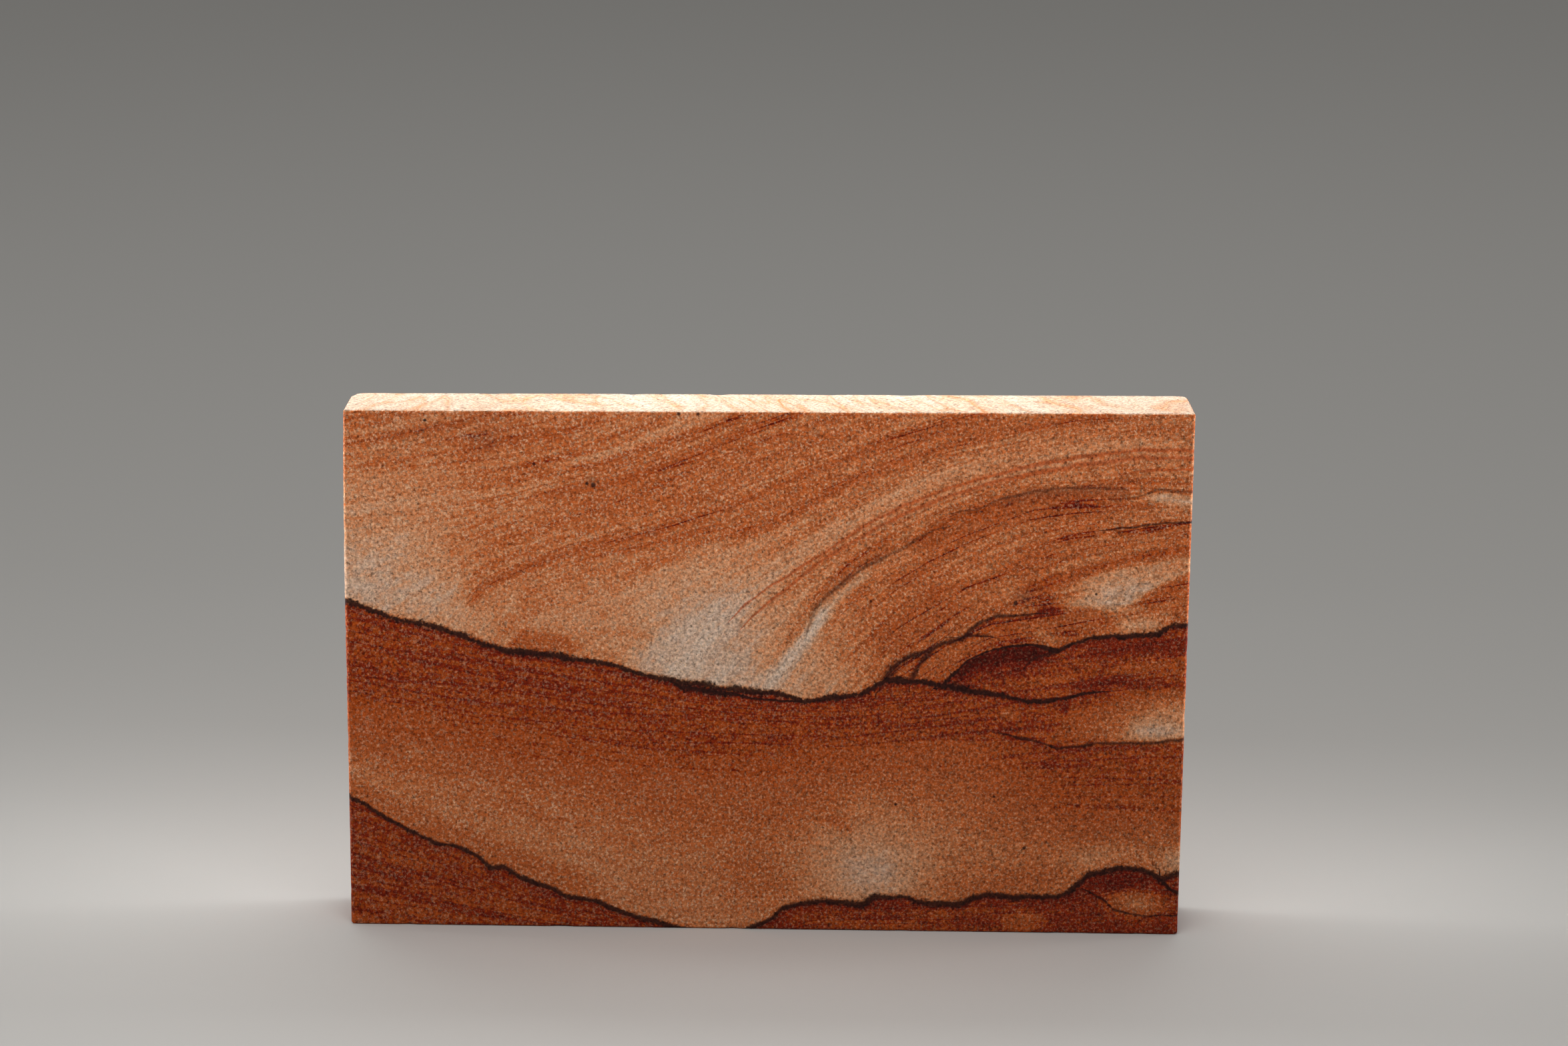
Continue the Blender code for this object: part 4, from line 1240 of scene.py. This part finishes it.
def dark_cover(tree, place, steps, ragged):
    """How far the dark lines and the painted shade of the small holes cover the stone."""
    covers = [line_cover(tree, name, group, steps, ragged) for name, group in LINE_GROUPS.items()]
    # The small holes are painted dark for the shade in them
    for pit_x, pit_z, radius in PITS:
        spot = (pit_x + FOOT_MIDDLE, -half_thickness(pit_x + FOOT_MIDDLE), pit_z)
        spot = [MM * part for part in spot]
        away = node(tree, "ShaderNodeVectorMath", {"operation": "DISTANCE", 1: spot}, _0=place)
        fall = {"interpolation_type": "SMOOTHSTEP", 1: radius * MM * PIT_OUTER, 2: radius * MM * PIT_INNER,
                3: 0.0, 4: PIT_SHADE_STRENGTH}
        covers.append(node(tree, "ShaderNodeMapRange", fall, _0=away.outputs["Value"]))
    cover = covers[0]
    for other in covers[1:]:
        cover = node(tree, "ShaderNodeMath", {"operation": "MAXIMUM"}, _0=cover, _1=other)
    return cover


def grain_tone_and_painted_shade(tree, height_up, sand, painted_foot_shade):
    """Single grains are lighter or darker, partly by their own colour and partly by painted glints and
    shade of their relief; the hollows between them are darkened by painted shade, and so is the foot.
    """
    # Painted glints and shade of the grains' relief, together with their own differences in colour
    shade = node(tree, "ShaderNodeMapRange", GLINT_SHADE, _0=sand["glints"])
    hollow = node(tree, "ShaderNodeMapRange", {"interpolation_type": "SMOOTHSTEP", **HOLLOW_PAINTED_SHADE},
                  _0=sand["hollows"])
    # Painted shade towards the foot, for the light that falls off there
    low, high = SHADE_HEIGHTS
    foot = node(tree, "ShaderNodeMapRange", {1: low * MM, 2: high * MM, 3: painted_foot_shade, 4: 1.0},
                _0=height_up)
    # Painted shade in the hollows between the grains
    shade = node(tree, "ShaderNodeMath", {"operation": "MULTIPLY"}, _0=shade, _1=hollow)
    return node(tree, "ShaderNodeMath", {"operation": "MULTIPLY"}, _0=shade, _1=foot)


def sandy_jasper(settings):
    """Landscape jasper: fine sand bound by silica, sawn with a diamond blade and left unpolished.

    The eye sees single grains, matt and without a sheen, orange to dark red by their coat of iron, and
    nearly black where iron and manganese gathered in lines.
    """
    material = bpy.data.materials.new("sawn sandy jasper")
    material.use_nodes = True
    tree = material.node_tree
    tree.nodes.clear()
    place = node(tree, "ShaderNodeTexCoord").outputs["Object"]
    tone, grey, flow = [node(tree, "ShaderNodeAttribute", {"attribute_name": name}).outputs["Fac"]
                        for name in ("tone", "grey", "flow")]
    apart = node(tree, "ShaderNodeSeparateXYZ", _0=place)
    sand = sand_noises(tree, place, settings.grain)

    # The lines are rows of dark grains: their edges wander from grain to grain, and every 3 mm or so they
    # swell or shrink
    moves = {name: about_nought(tree, sand[name], amount) for name, amount in LINE_EDGES.items()}
    ragged = node(tree, "ShaderNodeMath", {"operation": "ADD"}, _0=moves["hollows"], _1=moves["clouds"])
    layers = (
        (settings.quartz, quartz_cover(tree, tone, sand["quartz"])),
        (settings.grey, node(tree, "ShaderNodeMath", {"operation": "MULTIPLY", 1: GREY_STRENGTH}, _0=grey)),
        (settings.rust_line, line_cover(tree, "rust_lines", RUST_GROUP, moves["steps"], ragged)),
        (settings.line, dark_cover(tree, place, moves["steps"], ragged)),
    )
    stone = iron_colour(tree, settings, uneven_tone(tree, apart, tone, flow, sand)).outputs["Color"]
    for colour, cover in layers:
        mixed = node(tree, "ShaderNodeMix", {"data_type": "RGBA", 7: (*colour, 1)}, _0=cover, _6=stone)
        stone = mixed.outputs[2]
    shaded = node(tree, "ShaderNodeVectorMath", {"operation": "SCALE"}, _0=stone,
                  Scale=grain_tone_and_painted_shade(tree, apart.outputs["Z"], sand, settings.painted_foot_shade))

    relief = node(tree, "ShaderNodeMath", {"operation": "ADD"}, _0=sand["coat"], _1=sand["glints"])
    bump = node(tree, "ShaderNodeBump", {"Strength": 0.6, "Distance": settings.grain_relief}, Height=relief)
    # The hollows between the grains swallow most of the shine that polished quartz would have
    finish = {"Roughness": settings.roughness, "IOR": 1.54, "Metallic": 0.0, "Specular IOR Level": 0.12}
    shader = node(tree, "ShaderNodeBsdfPrincipled", finish, Base_Color=shaded, Normal=bump)
    node(tree, "ShaderNodeOutputMaterial", Surface=shader)
    return material


def add_object(name, data):
    thing = bpy.data.objects.new(name, data)
    bpy.context.scene.collection.objects.link(thing)
    return thing


class JASPER_OT_slab(bpy.types.Operator):
    """Make the sawn slab of jasper, with the picture that its bands draw"""

    bl_idname = "jasper.slab"
    bl_label = "Slab"

    def execute(self, context):
        settings = context.scene.jasper_slab
        loops = weather(slab_loops())
        faces = slab_faces(len(loops), loops.shape[1])
        kept, points = weld_middles(faces, loops.reshape(-1, 3))
        mesh = bpy.data.meshes.new("jasper_slab")
        mesh.from_pydata((points * MM).tolist(), [], kept)
        if mesh.validate():
            raise RuntimeError("the slab's mesh has bad faces")
        mesh.shade_smooth()
        record_picture(mesh, points)
        unwrap(mesh)
        mesh.materials.append(sandy_jasper(settings))
        slab = add_object("jasper_slab", mesh)
        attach(slab, "root")
        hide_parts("slab")
        return {"FINISHED"}


def matt_paint(colour):
    """Matt paint rolled on board: an even pale tone with no shine."""
    material = bpy.data.materials.new("matt paint")
    material.use_nodes = True
    shader = material.node_tree.nodes["Principled BSDF"]
    shader.inputs["Base Color"].default_value = (*colour, 1)
    shader.inputs["Roughness"].default_value = 0.9
    shader.inputs["Specular IOR Level"].default_value = 0.2
    return material


class SoftLight(NamedTuple):
    """A rectangular soft light: its place, what it faces and its width and length, all in metres.

    Spread is in degrees; less than 180 is a light with a grid in front.
    """

    name: str
    place: tuple
    target: tuple
    size: tuple
    spread: float = 180


TOP = SLAB_HIGH.z
OVERHEAD = SoftLight("overhead light", (-0.1, 0.1, 0.9), (SLAB_LOW + SLAB_HIGH) / 2, (1.2, 0.8))
FRONT = SoftLight("front light", (-0.03, -0.2, 0.2), (-0.03, 0, 0.2), (0.36, 0.08))
TOP_STRIP = SoftLight("top strip", (-0.006, 0.022, TOP + 0.035), (-0.006, 0, TOP), (0.15, 0.02))
# The side lights have a grid in front, so that they light the slab's ends and little of the floor
SIDE_LIGHTS = (
    SoftLight("side light left", (-0.22, 0.04, 0.035), (-0.053, 0, 0.05), (0.05, 0.05), 36),
    SoftLight("side light right", (0.22, 0.04, 0.035), (0.053, 0, 0.05), (0.05, 0.05), 36),
)


def hang_light(light, power):
    """Adds a soft light that isn't seen itself."""
    data = bpy.data.lights.new(light.name, "AREA")
    data.spread = math.radians(light.spread)
    data.shape = "RECTANGLE"
    data.size, data.size_y = light.size
    data.energy = power
    lamp = add_object(light.name, data)
    lamp.location = light.place
    lamp.rotation_euler = (Vector(light.target) - Vector(light.place)).to_track_quat("-Z", "Y").to_euler()
    lamp.visible_camera = False


# The camera, in metres and degrees: found from the slab's corners as the photograph shows them
CAMERA_PLACE = (0.00178, -0.4834, 0.1645)
CAMERA_DOWN = 13.0742
CAMERA_TURN = -0.0291
CAMERA_ROLL = 0.7305
FRAME_WIDTH = 36.0


class JASPER_OT_studio(bpy.types.Operator):
    """Set up the pale floor, the soft light and the camera"""

    bl_idname = "jasper.studio"
    bl_label = "Studio"

    def execute(self, context):
        settings = context.scene.jasper_studio
        scene = context.scene
        half = settings.floor_size / 2
        mesh = bpy.data.meshes.new("floor")
        corners = [(-half, -half, 0), (half, -half, 0), (half, half, 0), (-half, half, 0)]
        mesh.from_pydata(corners, [], [(0, 1, 2, 3)])
        mesh.materials.append(matt_paint(settings.floor_colour))
        add_object("floor", mesh)

        world = bpy.data.worlds.new("even light")
        world.use_nodes = True
        background = world.node_tree.nodes["Background"]
        background.inputs["Color"].default_value = (*settings.fill_colour, 1)
        background.inputs["Strength"].default_value = settings.fill
        scene.world = world

        hang_light(OVERHEAD, settings.overhead)
        hang_light(FRONT, settings.front)
        hang_light(TOP_STRIP, settings.top_strip)
        for light in SIDE_LIGHTS:
            hang_light(light, settings.side_lights)

        data = bpy.data.cameras.new("camera")
        data.sensor_width = FRAME_WIDTH
        data.lens = settings.lens
        data.clip_start = 0.01
        camera = add_object("camera", data)
        aim = Matrix.Rotation(math.radians(CAMERA_TURN), 4, "Z")
        aim = aim @ Matrix.Rotation(math.radians(90 - CAMERA_DOWN), 4, "X")
        aim = aim @ Matrix.Rotation(math.radians(CAMERA_ROLL), 4, "Z")
        camera.matrix_world = Matrix.Translation(CAMERA_PLACE) @ aim
        scene.camera = camera
        scene.view_settings.view_transform = "Standard"
        return {"FINISHED"}


class JASPER_PT_parts(bpy.types.Panel):
    """Lists the slab and the studio with their settings"""

    bl_idname = "JASPER_PT_parts"
    bl_label = "Landscape jasper"
    bl_space_type = "VIEW_3D"
    bl_region_type = "UI"
    bl_category = "Jasper"

    def draw(self, context):
        for operator, settings in (("jasper.slab", context.scene.jasper_slab),
                                   ("jasper.studio", context.scene.jasper_studio)):
            box = self.layout.box()
            box.operator(operator)
            for name in settings.__annotations__:
                box.prop(settings, name)


CLASSES = (SlabSettings, StudioSettings, JASPER_OT_slab, JASPER_OT_studio, JASPER_PT_parts)


def register():
    for kind in CLASSES:
        bpy.utils.register_class(kind)
    bpy.types.Scene.jasper_slab = bpy.props.PointerProperty(type=SlabSettings)
    bpy.types.Scene.jasper_studio = bpy.props.PointerProperty(type=StudioSettings)


def unregister():
    del bpy.types.Scene.jasper_studio
    del bpy.types.Scene.jasper_slab
    for kind in reversed(CLASSES):
        bpy.utils.unregister_class(kind)


def main():
    register()
    bpy.ops.jasper.studio()
    bpy.ops.jasper.slab()
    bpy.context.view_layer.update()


if __name__ == "__main__":
    main()
